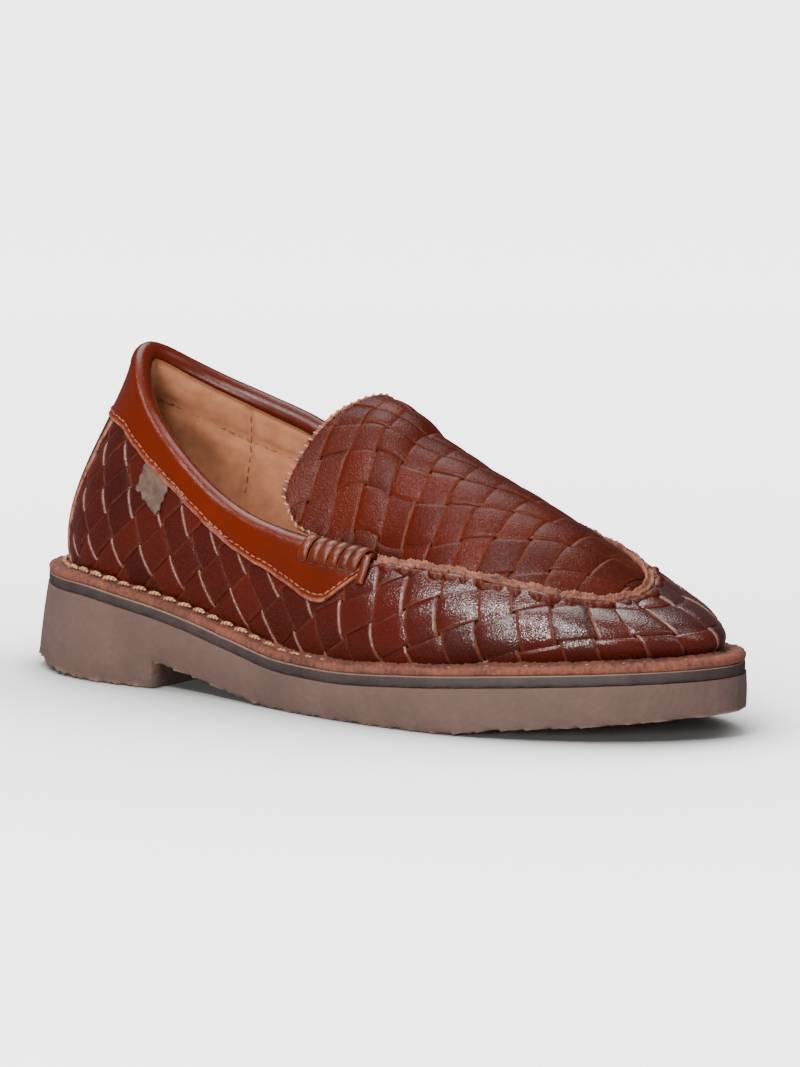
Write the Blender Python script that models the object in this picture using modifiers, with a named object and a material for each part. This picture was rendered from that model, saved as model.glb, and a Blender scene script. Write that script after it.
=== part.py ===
"""A woven leather loafer for the right foot, empty, standing on its sole.

Metres. +X points to the toe, +Y to the inner side of the foot, +Z up.
The tables are in millimetres, with the origin on the floor under the middle of the sole.
"""
import math

import bmesh
import bpy
import numpy as np

MM = 0.001

# clearances and thicknesses
GAP = 0.3
FOOT_GAP = 1.0
WALL = 1.8
RELIEF = 0.8
MIDSOLE = 3.6
WELT = 2.8
INSOLE = 3.5
OVERLAY = 1.4

# the weave: strip pitch, slopes of the two strip families, groove between strips
PITCH = 12.0
LEAN_AT_HEEL = 0.8
LEAN_FULL_AT = 0.9
RISE_AT_TOE = 0.07
RISE_GAIN = 0.5
RISE_LATE = 1.5
WIDEN_AT_HEEL = 0.36
GROOVE = 1.3
SNAP = 2.2
PLUG_SLANT_PITCH = 12.5
PLUG_ACROSS_PITCH = 11.0

# the rolled collar, the lace turns, the seam, the back strip and the side tab
COLLAR_INNER_LEG = 5.0
COLLAR_SECTIONS = 44
LACE_TURNS = 6
LACE_RUN = 0.8
LACE_THICK = 1.5
SEAM_SECTIONS = 44
SEAM_HEIGHT = 3.0
SEAM_ON_WALL = 1.8
SEAM_ON_PLUG = 0.5
PLUG_INSET = 2.6
TONGUE_INSET = 6.8
STRIP_HALF = 11.0
TAB_CENTRE = 0.088
TAB_WIDE = 13.5
TAB_TALL = 10.2

HEEL_BREAST_X = -67.0
BREAST_SLANT = 0.6
HEEL_FLARE = 2.0
HEEL_KICK = 3.0
SOLE_STATIONS = 40

SOLE_OUTLINE = (
    # place, x, y
    ("heel back", -128.0, 0.0),
    ("heel outer back", -119.0, -18.0),
    ("heel outer", -101.0, -28.5),
    ("waist outer back", -70.0, -31.0),
    ("waist outer", -35.0, -34.0),
    ("ball outer back", 0.0, -41.0),
    ("ball outer", 30.0, -44.2),
    ("toe outer back", 65.0, -42.5),
    ("toe outer", 95.0, -33.0),
    ("toe outer front", 117.5, -18.0),
    ("toe tip", 131.0, 5.0),
    ("toe inner front", 122.0, 22.5),
    ("toe inner", 99.0, 36.0),
    ("ball inner", 52.0, 44.2),
    ("ball inner back", 15.0, 37.5),
    ("waist inner", -30.0, 26.5),
    ("waist inner back", -70.0, 25.0),
    ("heel inner", -101.0, 27.0),
    ("heel inner back", -119.0, 17.0),
)

SOLE_TOP = (
    # x, height of the midsole's upper face
    (-132.0, 31.5),
    (-100.0, 31.0),
    (-77.0, 28.0),
    (-56.0, 24.2),
    (-36.0, 19.8),
    (-10.0, 15.6),
    (10.0, 15.2),
    (41.0, 17.0),
    (74.0, 19.6),
    (101.0, 21.3),
    (132.0, 22.8),
)

HEEL_UNDERSIDE = (
    # x, height of the heel's underside
    (-132.0, 5.5),
    (-120.0, 3.2),
    (-108.0, 1.2),
    (-96.0, 0.0),
    (-66.0, 0.0),
)

SOLE_UNDERSIDE = (
    # x, height of the underside in front of the heel
    (-67.0, 8.6),
    (-46.0, 4.6),
    (-25.0, 1.0),
    (-12.0, 0.0),
    (52.0, 0.0),
    (74.0, 2.6),
    (101.0, 5.0),
    (132.0, 8.4),
)

WALL_ROWS = (
    # place, foot x, foot y, top x, top y, top z, belly, shoulder
    ("heel back", -117.5, 0.0, -94.0, 0.0, 102.5, 5.0, 4.0),
    ("heel outer back", -110.0, -15.0, -88.5, -9.5, 96.0, 4.0, 4.0),
    ("heel outer", -94.0, -22.5, -79.0, -15.5, 85.0, 4.0, 4.0),
    ("quarter outer back", -70.0, -24.5, -62.0, -22.0, 72.0, 4.0, 4.0),
    ("quarter outer", -40.0, -27.0, -40.0, -26.5, 59.0, 3.0, 3.0),
    ("collar outer", -10.0, -31.5, -12.0, -29.5, 51.5, 3.0, 4.0),
    ("throat outer", 12.0, -36.0, 18.0, -29.5, 48.0, 4.0, 6.0),
    ("vamp outer", 40.0, -38.5, 42.0, -29.0, 47.0, 4.0, 8.0),
    ("toe outer back", 68.0, -34.0, 66.5, -26.5, 44.5, 4.0, 8.0),
    ("toe outer", 94.0, -24.5, 87.5, -18.0, 41.0, 4.5, 10.0),
    ("toe outer front", 111.0, -12.0, 96.5, -8.0, 40.0, 6.0, 12.0),
    ("toe", 121.5, 4.5, 98.5, 4.0, 41.5, 6.5, 13.0),
    ("toe inner front", 112.5, 19.0, 94.5, 13.5, 44.0, 6.0, 12.5),
    ("toe inner", 94.0, 29.5, 84.0, 20.0, 48.5, 5.5, 10.5),
    ("vamp inner front", 60.0, 35.0, 64.0, 25.0, 54.0, 4.0, 8.0),
    ("vamp inner", 30.0, 33.0, 38.0, 28.5, 59.5, 4.0, 8.0),
    ("throat inner", 8.0, 28.0, 16.0, 29.5, 60.5, 3.0, 6.0),
    ("collar inner", -15.0, 22.0, -14.0, 28.5, 66.0, 3.0, 5.0),
    ("quarter inner", -40.0, 19.0, -40.0, 26.5, 78.0, 3.0, 5.0),
    ("quarter inner back", -70.0, 19.5, -66.0, 22.0, 88.0, 4.0, 5.0),
    ("heel inner", -94.0, 20.5, -83.0, 14.5, 96.0, 4.0, 4.0),
    ("heel inner back", -110.5, 13.5, -91.0, 8.0, 101.0, 4.0, 4.0),
)

TONGUE_ROWS = (
    # x, outer y, outer z, inner y, inner z, crown
    (10.0, -22.8, 49.2, 22.8, 63.3, 29.8),
    (4.0, -23.0, 50.4, 23.2, 66.6, 30.3),
    (-8.0, -24.0, 53.5, 25.6, 74.0, 26.6),
    (-23.0, -25.5, 59.5, 28.0, 81.0, 20.0),
)
TONGUE_EDGE = (
    # share of the way across from the outer side, x of the free edge
    (0.0, -14.0),
    (0.03, -19.0),
    (0.067, -21.8),
    (0.12, -22.0),
    (0.26, -19.6),
    (0.41, -16.2),
    (0.58, -11.7),
    (0.74, -8.0),
    (0.9, -8.0),
    (0.96, -7.0),
    (1.0, -3.0),
)
INNER_FULLNESS = (
    # distance back from the plug's tip, power of the arch on the inner half
    (0.0, 2.0),
    (65.0, 2.0),
    (95.0, 3.4),
    (140.0, 3.4),
)
SLANT_DRIFT = (
    # distance back from the plug's tip, distance aside that a slanted strip has run
    (-20.0, -12.5),
    (70.0, 43.7),
    (90.0, 53.5),
    (105.0, 57.5),
    (160.0, 65.0),
)
PLUG_STATIONS = 10
PLUG_CROWN = (
    # share of the way from the tip to the throat, crown height over the edges
    (0.0, 0.0),
    (0.15, 2.5),
    (0.35, 8.0),
    (0.6, 14.0),
    (0.8, 20.0),
    (1.0, 27.2),
)

COLLAR_DEPTH = (
    # share of the way along the collar from the outer front end, depth of the outer leg
    (0.0, 7.0),
    (0.045, 15.5),
    (0.13, 11.0),
    (0.28, 8.5),
    (0.42, 13.5),
    (0.5, 23.0),
    (0.58, 15.0),
    (0.75, 11.0),
    (0.955, 15.5),
    (1.0, 7.0),
)

MATERIALS = {
    # slot: (red, green, blue, roughness)
    "rubber": (0.27, 0.19, 0.16, 0.85),
    "dark_layer": (0.06, 0.035, 0.03, 0.7),
    "raw_leather": (0.36, 0.17, 0.1, 0.85),
    "lining_leather": (0.5, 0.3, 0.17, 0.7),
    "strip_leather": (0.17, 0.035, 0.018, 0.45),
    "plug_leather": (0.15, 0.04, 0.022, 0.55),
    "collar_leather": (0.3, 0.085, 0.03, 0.35),
    "lace_leather": (0.22, 0.06, 0.03, 0.5),
    "tab_fabric": (0.4, 0.33, 0.27, 0.9),
}


def periodic_spline(knots, values):
    """Smooth closed curve through rows of values, the last knot is the first row again."""
    knots = np.asarray(knots, float)
    values = np.asarray(values, float)
    count = len(values)
    steps = np.diff(knots)
    rises = (np.roll(values, -1, 0) - values) / steps[:, None]
    system = np.zeros((count, count))
    for i in range(count):
        before = steps[i - 1]
        system[i, i - 1] += before
        system[i, i] += 2 * (before + steps[i])
        system[i, (i + 1) % count] += steps[i]
    bend = np.linalg.solve(system, 6 * (rises - np.roll(rises, 1, 0)))

    def at(u):
        u = np.mod(np.atleast_1d(np.asarray(u, float)), knots[-1])
        i = np.clip(np.searchsorted(knots, u, side="right") - 1, 0, count - 1)
        j = (i + 1) % count
        h = steps[i][:, None]
        a = (knots[i + 1] - u)[:, None] / h
        b = 1.0 - a
        curve = a * values[i] + b * values[j]
        return curve + ((a ** 3 - a) * bend[i] + (b ** 3 - b) * bend[j]) * h * h / 6

    return at


def steady_curve(rows, column=1):
    """Curve through the rows that never overshoots them, so level runs stay level."""
    xs = np.array([row[0] for row in rows], float)
    ys = np.array([row[column] for row in rows], float)
    slopes = np.diff(ys) / np.diff(xs)
    tangents = np.zeros(len(xs))
    inner = slopes[:-1] * slopes[1:] > 0
    tangents[1:-1][inner] = 2 * slopes[:-1][inner] * slopes[1:][inner] / (slopes[:-1] + slopes[1:])[inner]
    tangents[0] = slopes[0]
    tangents[-1] = slopes[-1]

    def at(x):
        x = np.clip(np.asarray(x, float), xs[0], xs[-1])
        i = np.clip(np.searchsorted(xs, x, side="right") - 1, 0, len(xs) - 2)
        h = xs[i + 1] - xs[i]
        r = (x - xs[i]) / h
        start = (1 + 2 * r) * (1 - r) ** 2 * ys[i] + r * (1 - r) ** 2 * h * tangents[i]
        end = r * r * (3 - 2 * r) * ys[i + 1] + r * r * (r - 1) * h * tangents[i + 1]
        return start + end

    return at


def chord_knots(points):
    """Knots spaced by the distance between neighbouring rows, closed."""
    steps = np.linalg.norm(np.roll(points, -1, 0) - points, axis=1)
    return np.concatenate([[0.0], np.cumsum(steps)])


def unit(vectors):
    return vectors / np.maximum(np.linalg.norm(vectors, axis=-1, keepdims=True), 1e-9)


def outward_level(curve, u, step=0.5):
    """Level direction pointing out of a closed curve that is walked with its inside on the left."""
    along = curve(u + step)[:, :2] - curve(u - step)[:, :2]
    return unit(np.stack([along[:, 1], -along[:, 0]], axis=1))


sole_top = steady_curve(SOLE_TOP)
heel_underside = steady_curve(HEEL_UNDERSIDE)
sole_underside = steady_curve(SOLE_UNDERSIDE)

outline_rows = np.array([row[1:] for row in SOLE_OUTLINE], float)
outline_knots = chord_knots(outline_rows)
outline_curve = periodic_spline(outline_knots, outline_rows)

wall_rows = np.array([row[1:] for row in WALL_ROWS], float)
wall_places = [row[0] for row in WALL_ROWS]
wall_knots = chord_knots(0.5 * (wall_rows[:, 0:2] + wall_rows[:, 2:4]))
wall_curve = periodic_spline(wall_knots, wall_rows)
ROUND = wall_knots[-1]


def place(name):
    return wall_knots[wall_places.index(name)]


def wall_point(u, v):
    """Outer face of the upper at the way round u and the share of the height v."""
    u = np.atleast_1d(np.asarray(u, float))
    v = np.broadcast_to(np.asarray(v, float), u.shape)[:, None]
    row = wall_curve(u)
    out = outward_level(wall_curve, u)
    foot_z = sole_top(row[:, 0]) + GAP + WELT + FOOT_GAP
    foot = np.column_stack([row[:, 0:2], foot_z])
    top = row[:, 2:5]
    third = (top[:, 2] - foot_z) / 3
    low = foot + np.column_stack([out * row[:, 5:6], third])
    high = top + np.column_stack([out * row[:, 6:7], -0.8 * third])
    w = 1 - v
    return w ** 3 * foot + 3 * w * w * v * low + 3 * w * v * v * high + v ** 3 * top


def wall_normal(u, v):
    step = 0.02
    higher = wall_point(u, np.minimum(np.asarray(v) + step, 1))
    up = higher - wall_point(u, np.maximum(np.asarray(v) - step, 0))
    along = wall_point(u + 0.5, v) - wall_point(u - 0.5, v)
    return unit(np.cross(along, up))


def wall_girth(u):
    """Length of the wall's section from foot to top."""
    shares = np.linspace(0, 1, 13)
    points = np.stack([wall_point(u, s) for s in shares])
    return np.linalg.norm(np.diff(points, axis=0), axis=2).sum(axis=0)


def beside_wall(u, lift, down):
    """Point lifted off the wall's outer face, at a distance down from the top edge."""
    u = np.atleast_1d(np.asarray(u, float))
    girth = wall_girth(u)
    v = np.clip(1 - np.maximum(down, 0) / girth, 0, 1)
    up = unit(wall_point(u, 1.0) - wall_point(u, 0.96))
    return wall_point(u, v) + wall_normal(u, v) * lift + up * np.maximum(-down, 0)


def clear_scene():
    for old in list(bpy.data.objects):
        bpy.data.objects.remove(old, do_unlink=True)


def material(slot):
    found = bpy.data.materials.get(slot)
    if found:
        return found
    red, green, blue, rough = MATERIALS[slot]
    made = bpy.data.materials.new(slot)
    made.use_nodes = True
    shader = made.node_tree.nodes["Principled BSDF"]
    shader.inputs["Base Color"].default_value = (red, green, blue, 1.0)
    shader.inputs["Roughness"].default_value = rough
    shader.inputs["Metallic"].default_value = 0.0
    made.diffuse_color = (red, green, blue, 1.0)
    return made


def add_object(name, slot, points, faces, smooth=True):
    """Mesh object in metres from points in millimetres, welded and facing outward."""
    mesh = bpy.data.meshes.new(name)
    work = bmesh.new()
    verts = [work.verts.new(tuple(p * MM for p in point)) for point in points]
    for face in faces:
        if len(set(face)) > 2:
            work.faces.new([verts[i] for i in face])
    bmesh.ops.remove_doubles(work, verts=work.verts, dist=1e-6)
    bmesh.ops.recalc_face_normals(work, faces=work.faces)
    for face in work.faces:
        face.smooth = smooth
    work.to_mesh(mesh)
    work.free()
    made = bpy.data.objects.new(name, mesh)
    mesh.materials.append(material(slot))
    parts.objects.link(made)
    made.parent = root
    return made


def skin(name, slot, sections, closed=False, caps=True):
    """Loft over sections that have the same number of points."""
    sections = np.asarray(sections, float)
    count, ring = sections.shape[:2]
    faces = []
    for i in range(count if closed else count - 1):
        here = i * ring
        there = ((i + 1) % count) * ring
        for j in range(ring):
            k = (j + 1) % ring
            faces.append((here + j, here + k, there + k, there + j))
    if caps and not closed:
        faces.append(tuple(range(ring)))
        faces.append(tuple((count - 1) * ring + j for j in range(ring)))
    return add_object(name, slot, sections.reshape(-1, 3), faces)


def plate(name, slot, outline, top, underside, extra=(), flare=None, kick=0.0):
    """Sole layer: sections across the foot, from the heel end of an outline to its toe end."""
    first = int(np.argmin(outline[:, 0]))
    walk = np.roll(outline, -first, axis=0)
    last = int(np.argmax(walk[:, 0]))
    outer = walk[:last + 1]
    inner = np.vstack([walk[last:], walk[:1]])[::-1]
    low, high = outer[0, 0], outer[-1, 0]
    turn = np.linspace(0, math.pi, SOLE_STATIONS)
    stations = np.sort(np.concatenate([0.5 * (low + high) - 0.5 * (high - low) * np.cos(turn), extra]))
    sections = []
    for x in stations:
        y_outer = np.interp(x, outer[:, 0], outer[:, 1])
        y_inner = np.interp(x, inner[:, 0], inner[:, 1])
        spread = 0.0 if flare is None else flare(x) * min(1.0, (y_inner - y_outer) / 20.0)
        back = kick * float(np.clip((low + 28.0 - x) / 28.0, 0.0, 1.0))
        z_top = float(top(x))
        z_low = float(underside(x))
        sections.append((
            (x, y_outer, z_top),
            (x, y_inner, z_top),
            (x - back, y_inner + spread, z_low),
            (x - back, y_outer - spread, z_low),
        ))
    return skin(name, slot, sections, caps=False)


def clip(polygon, height, onto):
    """Part of a polygon where height is not negative, cut points are moved onto the border."""
    kept = []
    levels = [height(p) for p in polygon]
    for i, here in enumerate(polygon):
        there = polygon[(i + 1) % len(polygon)]
        h0 = levels[i]
        h1 = levels[(i + 1) % len(polygon)]
        if h0 >= 0:
            kept.append(here)
        if h0 * h1 < 0:
            (a, ha), (b, hb) = sorted([(here, h0), (there, h1)])
            share = ha / (ha - hb)
            kept.append(onto((a[0] + (b[0] - a[0]) * share, a[1] + (b[1] - a[1]) * share)))
    return kept


def polygon_area(polygon):
    xs = np.array([p[0] for p in polygon])
    ys = np.array([p[1] for p in polygon])
    return 0.5 * abs(float(np.dot(xs, np.roll(ys, -1)) - np.dot(ys, np.roll(xs, -1))))


def woven_cells(crossing, columns, rows, borders):
    """Cells of a lattice of strips, trimmed to borders given as (height, onto) pairs."""
    cells = []
    for n in columns:
        for m in rows:
            cell = [crossing(n, m), crossing(n + 1, m), crossing(n + 1, m + 1), crossing(n, m + 1)]
            for height, onto in borders:
                cell = [onto(p) if abs(height(p)) < SNAP else p for p in cell]
                cell = clip(cell, lambda p: 0.0 if abs(height(p)) < 1e-7 else height(p), onto)
                if len(cell) < 3:
                    break
            tidy = []
            for p in cell:
                if not tidy or max(abs(p[0] - tidy[-1][0]), abs(p[1] - tidy[-1][1])) > 1e-6:
                    tidy.append(p)
            if len(tidy) > 2 and polygon_area(tidy) > 0.5:
                cells.append(tidy)
    return cells


def woven_sheet(name, slot, cells, to_space, outward, covered):
    """One wall of solid leather with each strip crossing raised."""
    index = {}
    flat = []
    faces = []
    for cell in cells:
        face = []
        for p in cell:
            key = (round(p[0], 3), round(p[1], 3))
            if key not in index:
                index[key] = len(flat)
                flat.append(p)
            if not face or face[-1] != index[key]:
                face.append(index[key])
        faces.append(face)
    flat = np.array(flat, float)
    points = to_space(flat[:, 0], flat[:, 1])
    sheet = add_object(name, slot, points, faces, smooth=False)
    middle = sheet.data.polygons[0]
    if np.dot(np.array(middle.normal), outward(np.array(middle.center) / MM)) < 0:
        sheet.data.flip_normals()
    thick = sheet.modifiers.new("leather", "SOLIDIFY")
    thick.thickness = WALL * MM
    thick.offset = -1.0
    thick.use_even_offset = True
    count = len(sheet.data.polygons)
    bpy.context.view_layer.objects.active = sheet
    bpy.ops.object.modifier_apply(modifier=thick.name)
    work = bmesh.new()
    work.from_mesh(sheet.data)
    work.faces.ensure_lookup_table()
    raised = []
    for face in work.faces[:count]:
        middle = face.calc_center_median() / MM
        roomy = min(edge.calc_length() for edge in face.edges) > 2.6 * GROOVE * MM
        if roomy and face.calc_area() > 30 * MM * MM and not covered(middle):
            raised.append(face)
    edge = {"thickness": GROOVE * MM, "depth": RELIEF * MM, "use_even_offset": True}
    bmesh.ops.inset_individual(work, faces=raised, **edge)
    bmesh.ops.recalc_face_normals(work, faces=work.faces)
    work.to_mesh(sheet.data)
    work.free()
    return sheet


def build_sole():
    around = np.linspace(0, outline_knots[-1], 400, endpoint=False)
    outline = outline_curve(around)
    breast = (HEEL_BREAST_X, HEEL_BREAST_X + BREAST_SLANT)

    def underside(x):
        return heel_underside(x) if x <= HEEL_BREAST_X else sole_underside(x)

    def flare(x):
        return float(np.interp(x, (-128.0, -80.0, -66.0), (HEEL_FLARE, 1.0, 0.0)))

    def rubber_top(x):
        return sole_top(x) - MIDSOLE - GAP

    def insole_base(x):
        return sole_top(x) + GAP

    plate("outsole", "rubber", outline, rubber_top, underside, breast, flare, HEEL_KICK)
    plate("midsole", "dark_layer", outline, sole_top, lambda x: sole_top(x) - MIDSOLE)

    u = np.linspace(0, ROUND, 96, endpoint=False)
    foot = wall_curve(u)[:, :2]
    out = outward_level(wall_curve, u)
    nearest = outline[np.argmin(np.linalg.norm(outline[None] - (foot + out * 8)[:, None], axis=2), axis=1)]
    edge = foot + (nearest - foot) * 0.92
    hidden = foot - out * 4.0
    sections = []
    for far, near in zip(edge, hidden):
        z_far = float(sole_top(far[0])) + GAP
        z_near = float(sole_top(near[0])) + GAP
        sections.append((
            (*near, z_near),
            (*far, z_far),
            (*(far * 0.997), z_far + WELT),
            (*near, z_near + WELT),
        ))
    skin("welt", "raw_leather", sections, closed=True)

    inside = foot - out * 4.6
    plate("insole", "lining_leather", inside, lambda x: insole_base(x) + INSOLE, insole_base)


def build_upper():
    toe = place("toe")
    fine = np.linspace(0, ROUND, 721)
    ring = wall_point(fine, 0.35)
    walked = np.concatenate([[0.0], np.cumsum(np.linalg.norm(np.diff(ring, axis=0), axis=1))])
    walked_toe = float(np.interp(toe, fine, walked))
    side_length = 0.5 * walked[-1]
    girths = wall_girth(fine)

    def way_round(s):
        """Signed distance from the toe, evened so both sides are as long, to the way round u."""
        share = np.asarray(s, float) / side_length
        rest = walked[-1] - walked_toe
        far = np.where(share < 0, walked_toe * (1 + share), walked_toe + rest * share)
        return np.interp(np.clip(far, 0, walked[-1]), walked, fine)

    def girth(s):
        return float(np.interp(way_round(s), fine, girths))

    def crossing(n, m):
        """Where strip line n of the leaning family meets line m of the rising family."""
        s = abs(n) * PITCH
        t = 0.0
        for _ in range(80):
            back = s / side_length
            climb = s * (RISE_AT_TOE + RISE_GAIN * back / 2 + RISE_LATE * back ** 2 / 3)
            t = m * PITCH * (1 + WIDEN_AT_HEEL * back) - climb
            lean = LEAN_AT_HEEL * min(1.0, max(back, 0.0) / LEAN_FULL_AT)
            s = 0.5 * (s + abs(n) * PITCH + t * lean)
        return (math.copysign(s, n) if n else 0.0, t)

    borders = (
        (lambda p: side_length - p[0], lambda p: (side_length, p[1])),
        (lambda p: side_length + p[0], lambda p: (-side_length, p[1])),
        (lambda p: p[1], lambda p: (p[0], 0.0)),
        (lambda p: girth(p[0]) - p[1], lambda p: (p[0], girth(p[0]))),
    )
    columns = range(-30, 30)
    cells = woven_cells(crossing, columns, range(-2, 24), borders)

    def to_space(s, t):
        u = way_round(s)
        v = np.clip(t / np.interp(u, fine, girths), 0, 1)
        return wall_point(u, v)

    dense_u = np.repeat(fine[::6], 12)
    dense_v = np.tile(np.linspace(0, 1, 12), len(fine[::6]))
    dense = wall_point(dense_u, dense_v)
    dense_out = wall_normal(dense_u, dense_v)
    ends = (place("throat outer"), place("throat inner"))

    def nearest(middle):
        return int(np.argmin(np.linalg.norm(dense - np.array(middle), axis=1)))

    def covered(middle):
        """True well under the collar, where no strip shows."""
        i = nearest(middle)
        u = dense_u[i]
        down = (1 - dense_v[i]) * np.interp(u, fine, girths)
        behind = u < ends[0] or u > ends[1]
        return behind and down < collar_depth(u) - 6.0

    woven_sheet("upper", "strip_leather", cells, to_space, lambda p: dense_out[nearest(p)], covered)


def collar_share(u):
    """Share of the way along the collar, from the outer front end round the heel."""
    start = place("throat outer")
    end = place("throat inner") - ROUND
    u = np.where(u > start + 1e-6, u - ROUND, u)
    return (start - u) / (start - end)


def collar_depth(u):
    table = np.array(COLLAR_DEPTH)
    return np.interp(collar_share(np.asarray(u, float)), table[:, 0], table[:, 1])


def collar_section(depth, inner):
    """Section of the folded band: (lift off the wall, distance down from the top edge)."""
    out_low = RELIEF + 2 * GAP
    out_high = out_low + OVERLAY
    in_low = -(WALL + 5 * GAP)
    in_high = in_low - OVERLAY
    return (
        (out_high, depth),
        (out_high + 0.2, 0.5 * depth),
        (out_high + 0.3, 3.0),
        (out_high - 0.6, -2.2),
        (-0.7, -3.8),
        (in_high + 0.5, -2.2),
        (in_high - 0.2, 2.0),
        (in_high, inner),
        (in_low, inner),
        (in_low, -1.4),
        (out_low, -1.4),
        (out_low, 0.5 * depth),
        (out_low, depth),
    )


def wrap_section(swell):
    """Section of a lace turn that sits over the collar's fold."""
    base = collar_section(7.0, 4.5)
    under = [base[0], base[2], base[3], base[4], base[5], base[6], base[7]]
    inner = [(0.4, 0.0), (0.4, 0.0), (0.4, -0.3), (0.0, -0.5), (-0.4, -0.3), (-0.5, 0.0), (-0.5, 0.0)]
    thick = LACE_THICK * swell
    pushes = [(1, 0), (1, 0), (0.9, -0.6), (0, -1), (-0.9, -0.6), (-1, 0), (-1, 0)]
    low = [(p[0] + q[0], p[1] + q[1]) for p, q in zip(under, inner)]
    high = [(p[0] + thick * q[0], p[1] + thick * q[1]) for p, q in zip(low, pushes)]
    return high + low[::-1]


def section_points(u, section):
    return [beside_wall(u, lift, down)[0] for lift, down in section]


def build_collar():
    start = place("throat outer")
    end = place("throat inner") - ROUND
    sections = []
    for u in np.linspace(start, end, COLLAR_SECTIONS):
        depth = float(collar_depth(u))
        sections.append(section_points(u % ROUND, collar_section(depth, COLLAR_INNER_LEG)))
    skin("collar", "collar_leather", sections)

    runs = (
        ("lace_wrap_lateral", start - 1.0, place("collar outer")),
        ("lace_wrap_medial", place("throat inner") + 1.0, place("collar inner")),
    )
    for name, first, last in runs:
        sections = []
        for k in range(4 * LACE_TURNS + 1):
            swell = 0.55 + 0.45 * abs(math.sin(math.pi * k / 4))
            u = first + LACE_RUN * (last - first) * k / (4 * LACE_TURNS)
            sections.append(section_points(u, wrap_section(swell)))
        skin(name, "lace_leather", sections)


def inset_top(u, inset):
    """Top edge of the wall moved level toward the inside."""
    top = wall_curve(u)[:, 2:5].copy()
    along = wall_curve(u + 0.5)[:, 2:4] - wall_curve(u - 0.5)[:, 2:4]
    out = unit(np.stack([along[:, 1], -along[:, 0]], axis=1))
    top[:, :2] -= out * np.reshape(inset, (-1, 1))
    return top


def plug_rows():
    """Edges and crown of the plug and tongue, from the toe end to the tongue's rear edge."""
    share = 1 - np.cos(np.linspace(0, math.pi / 2, PLUG_STATIONS + 1))
    inset = np.interp(share, (0.0, 0.72, 1.0), (PLUG_INSET, PLUG_INSET, TONGUE_INSET))
    toe = place("toe")
    outer = inset_top(toe + (place("throat outer") - toe) * share, inset)
    inner = inset_top(toe + (place("throat inner") - toe) * share, inset)
    crown = steady_curve(PLUG_CROWN)(share)
    rows = [(*outer[k], *inner[k], crown[k]) for k in range(len(share))]
    free = [(x, y, z, x, inner_y, inner_z, high) for x, y, z, inner_y, inner_z, high in TONGUE_ROWS]
    return np.array(rows + free, float)


def build_plug():
    rows = plug_rows()
    chord = np.maximum(np.linalg.norm(rows[:, 3:6] - rows[:, 0:3], axis=1), 1e-6)
    width = chord + 8 * rows[:, 6] ** 2 / (3 * chord)
    centre = 0.5 * (rows[:, 0:3] + rows[:, 3:6])
    centre[:, 2] += rows[:, 6]
    length = np.concatenate([[0.0], np.cumsum(np.linalg.norm(np.diff(centre, axis=0), axis=1))])
    throat = length[PLUG_STATIONS]
    full = length[-1]
    columns = [steady_curve(np.column_stack([length, rows[:, c]])) for c in range(7)]
    edge_x = steady_curve(TONGUE_EDGE)
    inner_power = steady_curve(INNER_FULLNESS)
    drift = steady_curve(SLANT_DRIFT)

    def half(back):
        return 0.5 * float(np.interp(back, length, width))

    def to_space(back, aside):
        wide = np.maximum(np.interp(back, length, width), 1e-6)
        w = np.clip(aside / wide + 0.5, 0, 1)
        edge_back = np.interp(-edge_x(w), -rows[PLUG_STATIONS:, 0], length[PLUG_STATIONS:])
        reach = (edge_back - throat) / (full - throat)
        back = np.minimum(back, throat) + np.maximum(back - throat, 0) * reach
        row = np.stack([column(back) for column in columns], axis=1)
        power = np.where(w > 0.5, inner_power(back), 2.0)
        arch = 1 - np.abs(2 * w - 1) ** power
        points = row[:, 0:3] + (row[:, 3:6] - row[:, 0:3]) * w[:, None]
        points[:, 2] += row[:, 6] * arch
        return points

    def to_plane(level, aside):
        """Distance back where the plug meets the upright plane across the shoe at a level."""
        x = np.interp(level, length[: PLUG_STATIONS + 1], centre[: PLUG_STATIONS + 1, 0])
        x -= max(level - throat, 0.0) * 0.83
        spans = np.linspace(0.3, full, 200)
        line = to_space(spans, np.full(200, aside))[:, 0]
        if level < 0 or x > line[0]:
            return min(level, 0.0) - 0.5
        if x < line[-1]:
            return full + line[-1] - x
        return float(np.interp(-x, -line, spans))

    def crossing(n, m):
        level = 4.0 + PLUG_ACROSS_PITCH * m
        aside = 12.0 + PLUG_SLANT_PITCH * n - float(drift(np.array([level]))[0])
        return (to_plane(level, aside), aside)

    borders = (
        (lambda p: p[0], lambda p: (0.0, p[1])),
        (lambda p: full - p[0], lambda p: (full, p[1])),
        (lambda p: half(p[0]) - p[1], lambda p: (p[0], half(p[0]))),
        (lambda p: half(p[0]) + p[1], lambda p: (p[0], -half(p[0]))),
    )
    cells = woven_cells(crossing, range(-5, 14), range(-2, 15), borders)
    up = np.array((0.0, 0.0, 1.0))
    woven_sheet("plug", "plug_leather", cells, to_space, lambda p: up, lambda p: False)


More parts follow.
